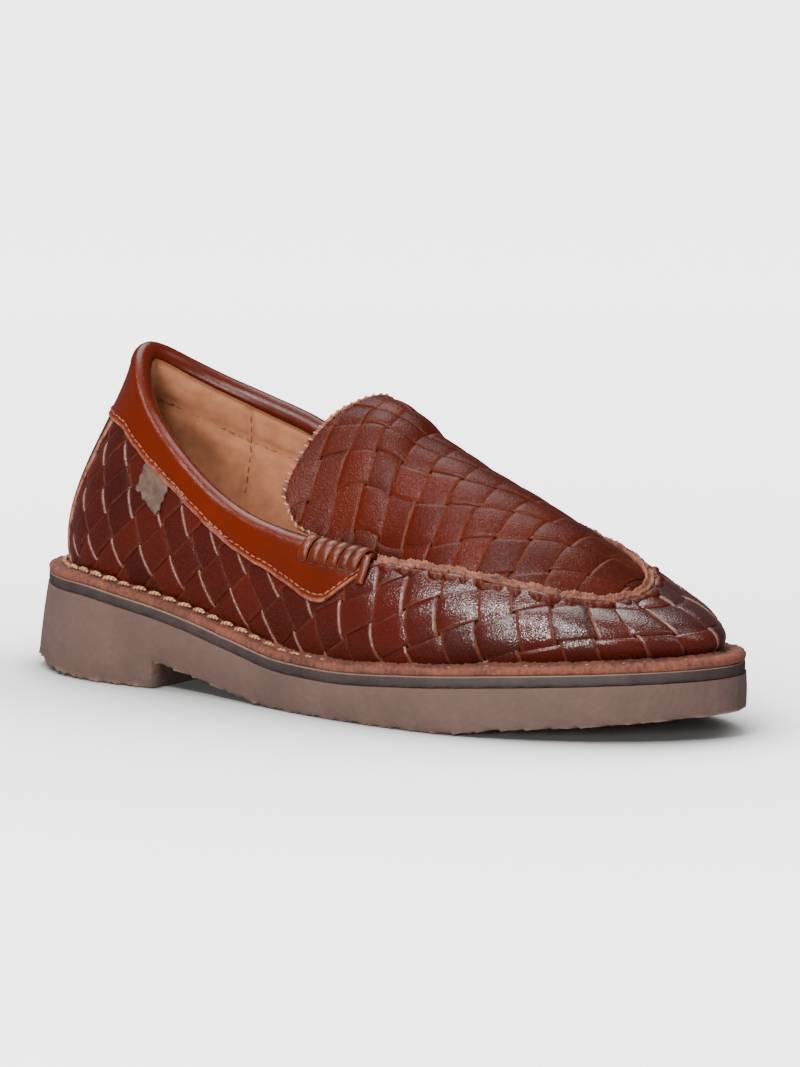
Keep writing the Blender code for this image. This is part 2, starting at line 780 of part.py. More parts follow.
def build_seam():
    """Raised seam over the joint of wall and plug, from throat to throat round the toe."""
    start = place("throat outer") + 1.5
    end = place("throat inner") - 1.5
    lift = RELIEF + 1.4 * GAP
    sections = []
    for u in np.linspace(start, end, SEAM_SECTIONS):
        ends_taper = min(1.0, 0.45 + min(u - start, end - u) / 12.0)
        tall = np.array((0.0, 0.0, SEAM_HEIGHT * ends_taper))
        at = np.array([u])
        on_wall = beside_wall(at, lift, SEAM_ON_WALL)[0]
        joint = inset_top(at, 0.5 * PLUG_INSET)[0] + (0, 0, 1.75 * lift)
        on_plug = inset_top(at, PLUG_INSET + SEAM_ON_PLUG)[0] + (0, 0, 1.8 * lift)
        lean = 0.12 * (on_plug - on_wall)
        crest = (on_plug + tall - lean, joint + 1.25 * tall, on_wall + tall + lean)
        sections.append((on_wall, joint, on_plug, *crest))
    skin("plug_seam", "raw_leather", sections)


def build_overlays():
    """Strip up the back of the heel and the blank tab below the collar, cut from the wall's own shape."""
    lift = RELIEF + GAP
    heel_girth = float(wall_girth(np.array([0.0]))[0])
    top_share = 1 - (collar_depth(0.0) + GAP + 0.5) / heel_girth
    across = np.linspace(-STRIP_HALF, STRIP_HALF, 7)
    sections = []
    for v in np.linspace(0.03, top_share, 8):
        low = [wall_point(a, v)[0] + wall_normal(np.array([a]), v)[0] * lift for a in across]
        high = [wall_point(a, v)[0] + wall_normal(np.array([a]), v)[0] * (lift + OVERLAY) for a in across]
        sections.append(high + low[::-1])
    skin("back_strip", "collar_leather", sections)

    middle = TAB_CENTRE * ROUND
    depth = float(collar_depth(middle)) + GAP + 0.8
    sections = []
    for down in np.linspace(depth, depth + TAB_TALL, 4):
        us = middle + np.linspace(-0.5, 0.5, 4) * TAB_WIDE
        low = [beside_wall(u, lift, down)[0] for u in us]
        high = [beside_wall(u, lift + 0.9, down)[0] for u in us]
        sections.append(high + low[::-1])
    skin("side_tab", "tab_fabric", sections)


clear_scene()
parts = bpy.data.collections.new("woven_loafer")
bpy.context.scene.collection.children.link(parts)
root = bpy.data.objects.new("woven_loafer_root", None)
parts.objects.link(root)
build_sole()
build_upper()
build_collar()
build_plug()
build_seam()
build_overlays()
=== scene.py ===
# %% [markdown]
# A woven leather loafer, dressed over its solid model.
# The solid model is the fixed frame: it gives the size, and each piece below sits where a solid sits.
# We load it first.

# %% Load the frame
import math

import bmesh
import bpy
import numpy as np
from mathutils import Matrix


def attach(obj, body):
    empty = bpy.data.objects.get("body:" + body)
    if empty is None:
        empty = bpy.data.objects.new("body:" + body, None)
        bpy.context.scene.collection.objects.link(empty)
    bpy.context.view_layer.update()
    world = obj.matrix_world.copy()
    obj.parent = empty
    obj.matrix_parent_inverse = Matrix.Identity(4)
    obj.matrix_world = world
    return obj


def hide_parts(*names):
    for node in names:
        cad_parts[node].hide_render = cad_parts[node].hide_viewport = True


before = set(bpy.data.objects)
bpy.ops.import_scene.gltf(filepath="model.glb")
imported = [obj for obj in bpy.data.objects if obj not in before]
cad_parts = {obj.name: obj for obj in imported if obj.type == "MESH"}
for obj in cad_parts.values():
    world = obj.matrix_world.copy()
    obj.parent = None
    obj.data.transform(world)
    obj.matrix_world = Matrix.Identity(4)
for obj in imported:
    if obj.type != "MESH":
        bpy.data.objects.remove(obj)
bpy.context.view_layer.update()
MM = 0.001
print("frame nodes:", ", ".join(sorted(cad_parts)))

# %% [markdown]
# The shoe is one family of curves, in millimetres: the sole's outline, the heights of its layers,
# and one row for each section of the upper, from its foot on the sole to its top edge.
# A shoe could also be sculpted freely, but then nothing would meet the solids.
# The same rows drive the solids, so the dressed pieces land on them without any fitting.

# %% The shoe's measures
GAP = 0.3
FOOT_GAP = 1.0
MIDSOLE = 3.6
WELT = 2.8
HEEL_BREAST_X = -67.0
BREAST_SLANT = 0.6
HEEL_FLARE = 2.0
HEEL_KICK = 3.0

SOLE_OUTLINE = (
    # x, y, from the heel round the outer side to the toe and back along the inner side
    (-128.0, 0.0), (-119.0, -18.0), (-101.0, -28.5), (-70.0, -31.0), (-35.0, -34.0),
    (0.0, -41.0), (30.0, -44.2), (65.0, -42.5), (95.0, -33.0), (117.5, -18.0),
    (131.0, 5.0), (122.0, 22.5), (99.0, 36.0), (52.0, 44.2), (15.0, 37.5),
    (-30.0, 26.5), (-70.0, 25.0), (-101.0, 27.0), (-119.0, 17.0),
)
SOLE_TOP = (
    # x, height of the dark layer's upper face
    (-132.0, 31.5), (-100.0, 31.0), (-77.0, 28.0), (-56.0, 24.2), (-36.0, 19.8), (-10.0, 15.6),
    (10.0, 15.2), (41.0, 17.0), (74.0, 19.6), (101.0, 21.3), (132.0, 22.8),
)
HEEL_UNDERSIDE = ((-132.0, 5.5), (-120.0, 3.2), (-108.0, 1.2), (-96.0, 0.0), (-66.0, 0.0))
SOLE_UNDERSIDE = (
    # x, height of the rubber's underside in front of the heel
    (-67.0, 8.6), (-46.0, 4.6), (-25.0, 1.0), (-12.0, 0.0),
    (52.0, 0.0), (74.0, 2.6), (101.0, 5.0), (132.0, 8.4),
)
WALL_ROWS = (
    # place, foot x, foot y, top x, top y, top z, belly, shoulder
    ("heel back", -117.5, 0.0, -94.0, 0.0, 102.5, 5.0, 4.0),
    ("heel outer back", -110.0, -15.0, -88.5, -9.5, 96.0, 4.0, 4.0),
    ("heel outer", -94.0, -22.5, -79.0, -15.5, 85.0, 4.0, 4.0),
    ("quarter outer back", -70.0, -24.5, -62.0, -22.0, 72.0, 4.0, 4.0),
    ("quarter outer", -40.0, -27.0, -40.0, -26.5, 59.0, 3.0, 3.0),
    ("collar outer", -10.0, -31.5, -12.0, -29.5, 51.5, 3.0, 4.0),
    ("throat outer", 12.0, -36.0, 18.0, -29.5, 48.0, 4.0, 6.0),
    ("vamp outer", 40.0, -38.5, 42.0, -29.0, 47.0, 4.0, 8.0),
    ("toe outer back", 68.0, -34.0, 66.5, -26.5, 44.5, 4.0, 8.0),
    ("toe outer", 94.0, -24.5, 87.5, -18.0, 41.0, 4.5, 10.0),
    ("toe outer front", 111.0, -12.0, 96.5, -8.0, 40.0, 6.0, 12.0),
    ("toe", 121.5, 4.5, 98.5, 4.0, 41.5, 6.5, 13.0),
    ("toe inner front", 112.5, 19.0, 94.5, 13.5, 44.0, 6.0, 12.5),
    ("toe inner", 94.0, 29.5, 84.0, 20.0, 48.5, 5.5, 10.5),
    ("vamp inner front", 60.0, 35.0, 64.0, 25.0, 54.0, 4.0, 8.0),
    ("vamp inner", 30.0, 33.0, 38.0, 28.5, 59.5, 4.0, 8.0),
    ("throat inner", 8.0, 28.0, 16.0, 29.5, 60.5, 3.0, 6.0),
    ("collar inner", -15.0, 22.0, -14.0, 28.5, 66.0, 3.0, 5.0),
    ("quarter inner", -40.0, 19.0, -40.0, 26.5, 78.0, 3.0, 5.0),
    ("quarter inner back", -70.0, 19.5, -66.0, 22.0, 88.0, 4.0, 5.0),
    ("heel inner", -94.0, 20.5, -83.0, 14.5, 96.0, 4.0, 4.0),
    ("heel inner back", -110.5, 13.5, -91.0, 8.0, 101.0, 4.0, 4.0),
)
print("rows round the upper:", len(WALL_ROWS))

# %% [markdown]
# Two kinds of curve carry the rows. A closed spline runs smoothly round the shoe.
# A steady curve never overshoots its rows, so the level spots under the heel and the ball stay level.
# Blender's own curve objects could be drawn instead, but a formula can be asked for a point anywhere.

# %% Two kinds of curve
def periodic_spline(knots, values):
    """Smooth closed curve through rows of values; the last knot is the first row again."""
    values = np.asarray(values, float)
    count = len(values)
    steps = np.diff(knots)
    rises = (np.roll(values, -1, 0) - values) / steps[:, None]
    system = np.zeros((count, count))
    for i in range(count):
        system[i, i - 1] += steps[i - 1]
        system[i, i] += 2 * (steps[i - 1] + steps[i])
        system[i, (i + 1) % count] += steps[i]
    bend = np.linalg.solve(system, 6 * (rises - np.roll(rises, 1, 0)))

    def value_at(u):
        u = np.mod(np.atleast_1d(np.asarray(u, float)), knots[-1])
        i = np.clip(np.searchsorted(knots, u, side="right") - 1, 0, count - 1)
        j = (i + 1) % count
        h = steps[i][:, None]
        a = (knots[i + 1] - u)[:, None] / h
        b = 1.0 - a
        bent = ((a ** 3 - a) * bend[i] + (b ** 3 - b) * bend[j]) * h * h / 6
        return a * values[i] + b * values[j] + bent

    return value_at


def steady_curve(rows):
    """Curve through (x, value) rows that never overshoots them."""
    xs, ys = (np.array(column, float) for column in zip(*rows))
    slopes = np.diff(ys) / np.diff(xs)
    tangents = np.concatenate([slopes[:1], np.zeros(len(xs) - 2), slopes[-1:]])
    inner = slopes[:-1] * slopes[1:] > 0
    tangents[1:-1][inner] = 2 * (slopes[:-1] * slopes[1:])[inner] / (slopes[:-1] + slopes[1:])[inner]

    def value_at(x):
        x = np.clip(np.asarray(x, float), xs[0], xs[-1])
        i = np.clip(np.searchsorted(xs, x, side="right") - 1, 0, len(xs) - 2)
        h = xs[i + 1] - xs[i]
        r = (x - xs[i]) / h
        start = (1 + 2 * r) * (1 - r) ** 2 * ys[i] + r * (1 - r) ** 2 * h * tangents[i]
        return start + r * r * (3 - 2 * r) * ys[i + 1] + r * r * (r - 1) * h * tangents[i + 1]

    return value_at


print("height of the sole at the ball: %.1f mm" % steady_curve(SOLE_TOP)(10.0))

# %% [markdown]
# The sole's heights become steady curves along the shoe. Its outline and the upper's rows become closed ones.
# The rows are spaced by their true distance, because even spacing would bunch the toe and stretch the sides.

# %% The shoe's own curves
def walked(points):
    """Distance walked along a row of points, from zero at the first."""
    steps = np.linalg.norm(np.diff(points, axis=0), axis=1)
    return np.concatenate([[0.0], np.cumsum(steps)])


def round_knots(points):
    return walked(np.vstack([points, points[:1]]))


def unit(vectors):
    return vectors / np.maximum(np.linalg.norm(vectors, axis=-1, keepdims=True), 1e-9)


sole_top = steady_curve(SOLE_TOP)
heel_underside = steady_curve(HEEL_UNDERSIDE)
sole_underside = steady_curve(SOLE_UNDERSIDE)
outline_rows = np.array(SOLE_OUTLINE, float)
outline_knots = round_knots(outline_rows)
outline_curve = periodic_spline(outline_knots, outline_rows)
outline = outline_curve(np.linspace(0, outline_knots[-1], 900, endpoint=False))
wall_rows = np.array([row[1:] for row in WALL_ROWS], float)
wall_knots = round_knots(0.5 * (wall_rows[:, 0:2] + wall_rows[:, 2:4]))
wall_curve = periodic_spline(wall_knots, wall_rows)
ROUND = wall_knots[-1]
PLACE = {row[0]: wall_knots[i] for i, row in enumerate(WALL_ROWS)}
print("way round the upper: %.0f mm" % ROUND)

# %% [markdown]
# The outer face of the upper is a bent wall over its foot line: a cubic arc from foot to top in each section.
# From it we get the point, the outward direction and the height of the wall anywhere.
# Overlays such as the collar are then written as a lift off the wall and a distance down from its top edge,
# which keeps them seated where the wall leans. In plain x, y and z each bend would need a correction.

# %% The wall as a function
SHOULDER_DROP = 0.8


def outward_level(u, step=0.5):
    along = wall_curve(u + step)[:, :2] - wall_curve(u - step)[:, :2]
    return unit(np.stack([along[:, 1], -along[:, 0]], axis=1))


def wall_point(u, v):
    """Outer face at the way round u and the share of the height v, as flat arrays."""
    u = np.atleast_1d(np.asarray(u, float))
    v = np.broadcast_to(np.asarray(v, float), u.shape)[:, None]
    row = wall_curve(u)
    out = outward_level(u)
    foot_z = sole_top(row[:, 0]) + GAP + WELT + FOOT_GAP
    foot = np.column_stack([row[:, 0:2], foot_z])
    top = row[:, 2:5]
    third = (top[:, 2] - foot_z) / 3
    low = foot + np.column_stack([out * row[:, 5:6], third])
    high = top + np.column_stack([out * row[:, 6:7], -SHOULDER_DROP * third])
    w = 1 - v
    return w ** 3 * foot + 3 * w * w * v * low + 3 * w * v * v * high + v ** 3 * top


def wall_normal(u, v):
    u = np.atleast_1d(np.asarray(u, float))
    v = np.broadcast_to(np.asarray(v, float), u.shape)
    up = wall_point(u, np.minimum(v + 0.02, 1)) - wall_point(u, np.maximum(v - 0.02, 0))
    along = wall_point(u + 0.5, v) - wall_point(u - 0.5, v)
    return unit(np.cross(along, up))


fine_u = np.linspace(0, ROUND, 721)
profiles = np.stack([wall_point(fine_u, v) for v in np.linspace(0, 1, 13)])
fine_girth = np.linalg.norm(np.diff(profiles, axis=0), axis=2).sum(axis=0)


def girth(u):
    """Length of the wall's section, from foot to top."""
    return np.interp(np.mod(u, ROUND), fine_u, fine_girth)


def beside_wall(u, lift, down):
    """Points lifted off the wall at a distance down from its top edge; a negative distance is above it."""
    u, lift, down = (np.ravel(a) for a in np.broadcast_arrays(u, lift, down))
    v = np.clip(1 - np.maximum(down, 0) / girth(u), 0, 1)
    up = unit(wall_point(u, 1.0) - wall_point(u, 0.96))
    return wall_point(u, v) + wall_normal(u, v) * lift[:, None] + up * np.maximum(-down, 0)[:, None]


print("wall height: %.0f to %.0f mm" % (fine_girth.min(), fine_girth.max()))

# %% [markdown]
# Hand work is never quite even. A ripple is a small seeded sum of sine waves, the same on each run.
# It roughens cut edges, welts and seams. A displacement texture could do it too, but here it is plain shape,
# so the export keeps it.

# %% Ripples
def ripple(x, seed, waves):
    """Sum of sine waves given as (length, height) pairs, with seeded phases."""
    rng = np.random.default_rng(seed)
    x = np.asarray(x, float)
    total = np.zeros_like(x)
    for length, height in waves:
        total = total + height * np.sin(2 * math.pi * x / length + rng.uniform(0, 2 * math.pi))
    return total


print("ripple of 1 mm at five places:", np.round(ripple(np.arange(5.0), 1, ((3.0, 1.0),)), 2))

# %% [markdown]
# Almost every piece of this shoe is long and has one section: a strip, a lace, a seam, a stitch.
# Each is therefore a patch, a grid of points that is closed across into a tube, and a batch gathers patches
# into one mesh. Points carry marks, such as how near a raw edge they are, which the finishes read later.
# Modifiers could bevel and solidify plain strips, but the marks let one mesh show face and cut edge.

# %% Patches
def new_batch():
    return {"points": [], "faces": [], "marks": [], "count": 0}


def add_patch(batch, points, ring=False, loop=False, caps=False, **marks):
    """Grid of points (run, across, xyz); ring closes it across, loop closes it along the run."""
    points = np.asarray(points, float)
    run, across = points.shape[:2]
    index = batch["count"] + np.arange(run * across).reshape(run, across)
    if loop:
        index = np.vstack([index, index[:1]])
    if ring:
        index = np.hstack([index, index[:, :1]])
    quads = np.stack([index[:-1, :-1], index[:-1, 1:], index[1:, 1:], index[1:, :-1]], axis=-1)
    batch["faces"] += quads.reshape(-1, 4).tolist()
    if caps:
        batch["faces"].append(index[0, :across].tolist())
        batch["faces"].append(index[-1, :across].tolist())
    batch["points"].append(points.reshape(-1, 3))
    shaped = {key: np.broadcast_to(value, (run, across)).ravel() for key, value in marks.items()}
    batch["marks"].append(shaped)
    batch["count"] += run * across


def add_tube(batch, rows, loop=False, **marks):
    """Tube whose section runs through the given rows of points, capped unless it closes on itself."""
    add_patch(batch, np.stack(rows, axis=1), ring=True, loop=loop, caps=not loop, **marks)


print("an empty batch holds:", ", ".join(new_batch()))

# %% [markdown]
# A batch becomes one object. Giving Blender lists of points and faces is the plainest way to make a mesh,
# and a short visit to bmesh then welds points that fall together and turns all faces outward.

# %% Pieces
def write_marks(mesh, batch):
    """Stores each mark as a value per point; patches without the mark get zero."""
    for key in sorted({key for marks in batch["marks"] for key in marks}):
        parts = zip(batch["marks"], batch["points"])
        values = np.concatenate([marks.get(key, np.zeros(len(points))) for marks, points in parts])
        layer = mesh.attributes.new(key, "FLOAT", "POINT")
        layer.data.foreach_set("value", values.astype(np.float32))


def make_piece(name, batch, material, nodes=()):
    """Mesh object in metres from a batch; it rides on the shoe and may stand for solids."""
    mesh = bpy.data.meshes.new(name)
    mesh.from_pydata((np.vstack(batch["points"]) * MM).tolist(), [], batch["faces"])
    write_marks(mesh, batch)
    work = bmesh.new()
    work.from_mesh(mesh)
    bmesh.ops.remove_doubles(work, verts=work.verts, dist=1e-7)
    bmesh.ops.recalc_face_normals(work, faces=work.faces)
    for face in work.faces:
        face.smooth = True
    work.to_mesh(mesh)
    work.free()
    mesh.materials.append(material)
    made = bpy.data.objects.new(name, mesh)
    bpy.context.scene.collection.objects.link(made)
    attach(made, "root")
    if nodes:
        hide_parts(*nodes)
    print("%s: %d faces" % (name, len(mesh.polygons)))
    return made


# %% [markdown]
# Finishes come next. Nodes could be wired by hand in the editor; in a script, a few helpers keep it short.
# Each adds one node, links or sets its inputs, and gives back the socket that the next node needs.

# %% Node helpers
FLOAT = "NodeSocketFloat"
COLOUR = "NodeSocketColor"


def rgb(red, green, blue):
    return (red, green, blue, 1.0)


def add_node(tree, kind, inputs=None, **settings):
    made = tree.nodes.new(kind)
    for key, value in settings.items():
        setattr(made, key, value)
    for key, value in (inputs or {}).items():
        if isinstance(value, bpy.types.NodeSocket):
            tree.links.new(value, made.inputs[key])
        else:
            made.inputs[key].default_value = value
    return made


def start_group(name, inputs, outputs):
    """Empty node group with named sockets; inputs are (label, kind, default) rows, outputs (label, kind)."""
    tree = bpy.data.node_groups.new(name, "ShaderNodeTree")
    for label, kind, default in inputs:
        socket = tree.interface.new_socket(label, in_out="INPUT", socket_type=kind)
        socket.default_value = default
    for label, kind in outputs:
        tree.interface.new_socket(label, in_out="OUTPUT", socket_type=kind)
    return tree, tree.nodes.new("NodeGroupInput").outputs, tree.nodes.new("NodeGroupOutput").inputs


def object_place(tree):
    return add_node(tree, "ShaderNodeTexCoord").outputs["Object"]


def mark(tree, name):
    made = add_node(tree, "ShaderNodeAttribute", attribute_name=name, attribute_type="GEOMETRY")
    return made.outputs["Fac"]


def noise(tree, where, scale, detail, roughness=0.5):
    inputs = {"Vector": where, "Scale": scale, "Detail": detail, "Roughness": roughness}
    return add_node(tree, "ShaderNodeTexNoise", inputs).outputs


def mix(tree, share, first, second):
    return add_node(tree, "ShaderNodeMix", {0: share, 6: first, 7: second}, data_type="RGBA").outputs[2]


def maths(tree, operation, *values):
    return add_node(tree, "ShaderNodeMath", dict(enumerate(values)), operation=operation).outputs[0]


def blend(tree, first, first_share, second, second_share):
    """Weighted sum of two values."""
    return maths(tree, "MULTIPLY_ADD", first, first_share, maths(tree, "MULTIPLY", second, second_share))


def spread(tree, value, low, high, to_low=0.0, to_high=1.0):
    """Stretches the range from low to high over another range, held at its ends."""
    inputs = {"Value": value, "From Min": low, "From Max": high, "To Min": to_low, "To Max": to_high}
    return add_node(tree, "ShaderNodeMapRange", inputs).outputs["Result"]


print("socket kinds for groups:", FLOAT, COLOUR)

# %% [markdown]
# Leather grain is the fine pebbling of the hide, with cloudy patches where it took the dye unevenly.
# A photograph of leather could be wrapped round the strips, but it would repeat and smear.
# Here small cells, bent by noise so that none is quite round, give both the height and the mottled tone.

# %% The leather grain group
def build_leather_grain():
    tree, given, out = start_group(
        "leather_grain",
        (("Pebble Scale", FLOAT, 900.0), ("Mottle Scale", FLOAT, 60.0)),
        (("Height", FLOAT), ("Mottle", FLOAT)),
    )
    where = object_place(tree)
    stray = {0: noise(tree, where, 500.0, 2.0)["Color"], 1: (0.0016,) * 3}
    strayed = add_node(tree, "ShaderNodeVectorMath", stray, operation="MULTIPLY").outputs["Vector"]
    bent = add_node(tree, "ShaderNodeVectorMath", {0: where, 1: strayed}, operation="ADD").outputs["Vector"]
    cells = {"Vector": bent, "Scale": given["Pebble Scale"]}
    pebbles = add_node(tree, "ShaderNodeTexVoronoi", cells, feature="DISTANCE_TO_EDGE").outputs["Distance"]
    cracks = spread(tree, pebbles, 0.0, 0.35)
    soft = noise(tree, where, given["Mottle Scale"], 5.0)["Fac"]
    tree.links.new(blend(tree, cracks, 1.0, soft, 0.8), out["Height"])
    tree.links.new(blend(tree, spread(tree, soft, 0.3, 0.7), 0.35, cracks, 0.75), out["Mottle"])
    return tree


leather_grain = build_leather_grain()
print("leather grain:", len(leather_grain.nodes), "nodes")

# %% [markdown]
# Where leather is cut it shows raw fibre, paler than the dyed face and fuzzy.
# Hair could be grown there, but at this size a rough noise in two tones reads the same and exports cleanly.

# %% The raw fibre group
def build_raw_fibre():
    tree, given, out = start_group(
        "raw_fibre",
        (("Pale", COLOUR, rgb(0.5, 0.2, 0.11)), ("Deep", COLOUR, rgb(0.2, 0.06, 0.03)),
         ("Fibre Scale", FLOAT, 700.0)),
        (("Color", COLOUR), ("Height", FLOAT)),
    )
    where = object_place(tree)
    fibre = noise(tree, where, given["Fibre Scale"], 6.0, 0.7)["Fac"]
    cloud = noise(tree, where, 130.0, 3.0)["Fac"]
    both = blend(tree, fibre, 0.55, cloud, 0.45)
    tree.links.new(mix(tree, spread(tree, both, 0.38, 0.62), given["Deep"], given["Pale"]), out["Color"])
    tree.links.new(both, out["Height"])
    return tree


raw_fibre = build_raw_fibre()
print("raw fibre:", len(raw_fibre.nodes), "nodes")

# %% [markdown]
# No two strips of the weave have the same tone, and each gets painted shade where it dives under its
# neighbour.
# A material for every strip could do that. It is simpler to mark each point with its strip's tint, how far it
# dives under (its painted dive shade) and its nearness to the cut edge, and to let one group turn those marks
# into colour.

# %% The strip tone group
def build_strip_tone():
    tree, given, out = start_group(
        "strip_tone",
        (("Dark", COLOUR, rgb(0.08, 0.015, 0.008)), ("Bright", COLOUR, rgb(0.22, 0.05, 0.025)),
         ("Raw Edge", COLOUR, rgb(0.5, 0.19, 0.11)), ("Mottle", FLOAT, 0.5)),
        (("Color", COLOUR), ("Gloss", FLOAT)),
    )
    shade = blend(tree, mark(tree, "tint"), 0.55, given["Mottle"], 0.5)
    body = mix(tree, shade, given["Dark"], given["Bright"])
    # Painted shade: the colour darkens toward Dark where a strip dives under its neighbour.
    shaded_body = mix(tree, mark(tree, "dip"), body, given["Dark"])
    fray = spread(tree, noise(tree, object_place(tree), 420.0, 4.0)["Fac"], 0.3, 0.6, 0.25, 1.0)
    edge = maths(tree, "MULTIPLY", mark(tree, "rim"), fray)
    tree.links.new(mix(tree, edge, shaded_body, given["Raw Edge"]), out["Color"])
    tree.links.new(blend(tree, edge, 0.4, shade, -0.12), out["Gloss"])
    return tree


strip_tone = build_strip_tone()
print("strip tone:", len(strip_tone.nodes), "nodes")

# %% [markdown]
# Sewing thread is twisted, so its lay runs round it like a rope. Modelling the plies would cost many faces.
# A sine of the way along plus the way round draws the same slanting lines as painted shade in the grooves
# between the plies, and a little soil dulls them.

# %% The thread twist group
def build_thread_twist():
    tree, given, out = start_group(
        "thread_twist",
        (("Thread", COLOUR, rgb(0.6, 0.37, 0.2)), ("Shadow", COLOUR, rgb(0.25, 0.12, 0.06))),
        (("Color", COLOUR), ("Height", FLOAT)),
    )
    way = maths(tree, "ADD", mark(tree, "run"), mark(tree, "round"))
    turns = maths(tree, "SINE", maths(tree, "MULTIPLY", way, 2 * math.pi))
    soil = noise(tree, object_place(tree), 90.0, 4.0)["Fac"]
    lay = blend(tree, turns, 0.25, soil, 1.0)
    tree.links.new(mix(tree, spread(tree, lay, 0.3, 0.75), given["Shadow"], given["Thread"]), out["Color"])
    tree.links.new(turns, out["Height"])
    return tree


thread_twist = build_thread_twist()
print("node groups:", ", ".join(group.name for group in bpy.data.node_groups))

# %% [markdown]
# A material is one Principled shader that the groups feed. Three kinds cover the leathers and threads:
# dyed strip leather, raw or matt leather, and thread. Copying a material for each colour would also work,
# but a function per kind keeps them alike and shows only what differs.

# %% Three kinds of material
def start_material(name, **constants):
    made = bpy.data.materials.new(name)
    made.use_nodes = True
    shader = made.node_tree.nodes["Principled BSDF"]
    for key, value in constants.items():
        shader.inputs[key.replace("_", " ")].default_value = value
    return made, made.node_tree, shader.inputs


def use_group(tree, group, **inputs):
    """Places a node group in a material with its own values."""
    named = {key.replace("_", " "): value for key, value in inputs.items()}
    return add_node(tree, "ShaderNodeGroup", named, node_tree=group).outputs


def emboss(tree, shader, height, strength, depth):
    bump = add_node(tree, "ShaderNodeBump", {"Height": height, "Strength": strength, "Distance": depth * MM})
    tree.links.new(bump.outputs["Normal"], shader["Normal"])


def strip_material(name, dark, bright, raw, rough, pebble, relief, shine):
    made, tree, shader = start_material(name, Specular_IOR_Level=shine)
    grain = use_group(tree, leather_grain, Pebble_Scale=pebble, Mottle_Scale=90.0)
    tone = use_group(tree, strip_tone, Dark=dark, Bright=bright, Raw_Edge=raw, Mottle=grain["Mottle"])
    tree.links.new(tone["Color"], shader["Base Color"])
    tree.links.new(maths(tree, "ADD", tone["Gloss"], rough), shader["Roughness"])
    emboss(tree, shader, grain["Height"], relief, 0.15)
    return made


def raw_material(name, pale, deep, fibre, depth):
    made, tree, shader = start_material(name, Roughness=0.85)
    cut = use_group(tree, raw_fibre, Pale=pale, Deep=deep, Fibre_Scale=fibre)
    tree.links.new(cut["Color"], shader["Base Color"])
    emboss(tree, shader, cut["Height"], 0.6, depth)
    return made


def thread_material(name, thread, shadow):
    made, tree, shader = start_material(name, Roughness=0.75)
    lay = use_group(tree, thread_twist, Thread=thread, Shadow=shadow)
    tree.links.new(lay["Color"], shader["Base Color"])
    emboss(tree, shader, lay["Height"], 0.5, 0.15)
    return made


print("materials before the first finish:", len(bpy.data.materials))

# %% [markdown]
# The woven strips are a glossy oxblood leather with paler cut edges, and the plug is the same hide, rubbed
# duller. The collar is a smoother, orange-brown glove leather, and the lace is rolled from a like hide.
# The base colours are darker than they look, because the soft lights wash pale over polished leather.

# %% Dyed leathers
EDGE = rgb(0.22, 0.07, 0.035)
strip_skin = strip_material(
    "glossy oxblood strips", rgb(0.0115, 0.0008, 0.0002), rgb(0.047, 0.0036, 0.0009), rgb(0.21, 0.068, 0.034),
    rough=0.33, pebble=1000.0, relief=0.36, shine=0.45)
plug_skin = strip_material(
    "rubbed oxblood strips", rgb(0.023, 0.0021, 0.0005), rgb(0.056, 0.0056, 0.0013), EDGE,
    rough=0.41, pebble=1000.0, relief=0.45, shine=0.1)
collar_skin = strip_material(
    "orange-brown glove leather", rgb(0.026, 0.002, 0.0002), rgb(0.082, 0.007, 0.0005), EDGE,
    rough=0.34, pebble=1900.0, relief=0.16, shine=0.22)
lace_skin = strip_material(
    "rolled lace leather", rgb(0.028, 0.003, 0.0007), rgb(0.08, 0.0095, 0.0016), EDGE,
    rough=0.36, pebble=1600.0, relief=0.25, shine=0.3)
print("dyed leathers:", len(bpy.data.materials))

# %% [markdown]
# Cut edges, the scuffed welt, the suede behind the weave and the tan lining are all matt leather.
# They differ in tone and in the size of the fibre. The threads run from tan inside to pale on the welt.

# %% Matt leathers and threads
raw_skin = raw_material("raw cut leather", rgb(0.215, 0.068, 0.034), rgb(0.035, 0.008, 0.004), 600.0, 0.6)
welt_skin = raw_material(
    "scuffed welt leather", rgb(0.125, 0.03, 0.0125), rgb(0.035, 0.007, 0.003), 700.0, 0.7)
suede_skin = raw_material("dark suede backing", rgb(0.03, 0.008, 0.005), rgb(0.012, 0.003, 0.002), 500.0, 0.3)
lining_skin = raw_material("tan lining", rgb(0.27, 0.1, 0.042), rgb(0.21, 0.072, 0.028), 260.0, 0.1)
pale_thread = thread_material("pale sewing thread", rgb(0.26, 0.075, 0.03), rgb(0.1, 0.024, 0.009))
dark_thread = thread_material("brown seam thread", rgb(0.09, 0.024, 0.011), rgb(0.03, 0.007, 0.003))
lining_thread = thread_material("tan lining thread", rgb(0.24, 0.088, 0.036), rgb(0.17, 0.056, 0.022))
waxed_thread = thread_material("thick welt thread", rgb(0.4, 0.21, 0.1), rgb(0.14, 0.055, 0.026))
print("leathers and threads:", len(bpy.data.materials))

# %% [markdown]
# The rubber is a warm grey-brown with small crumbs and a few scuffs, and paler along its worn lower edge.
# The layer above it is nearly black and holds a little dust on its rim. The tab is a coarse woven cloth,
# whose threads are too fine to model, so a wave pattern embosses them.

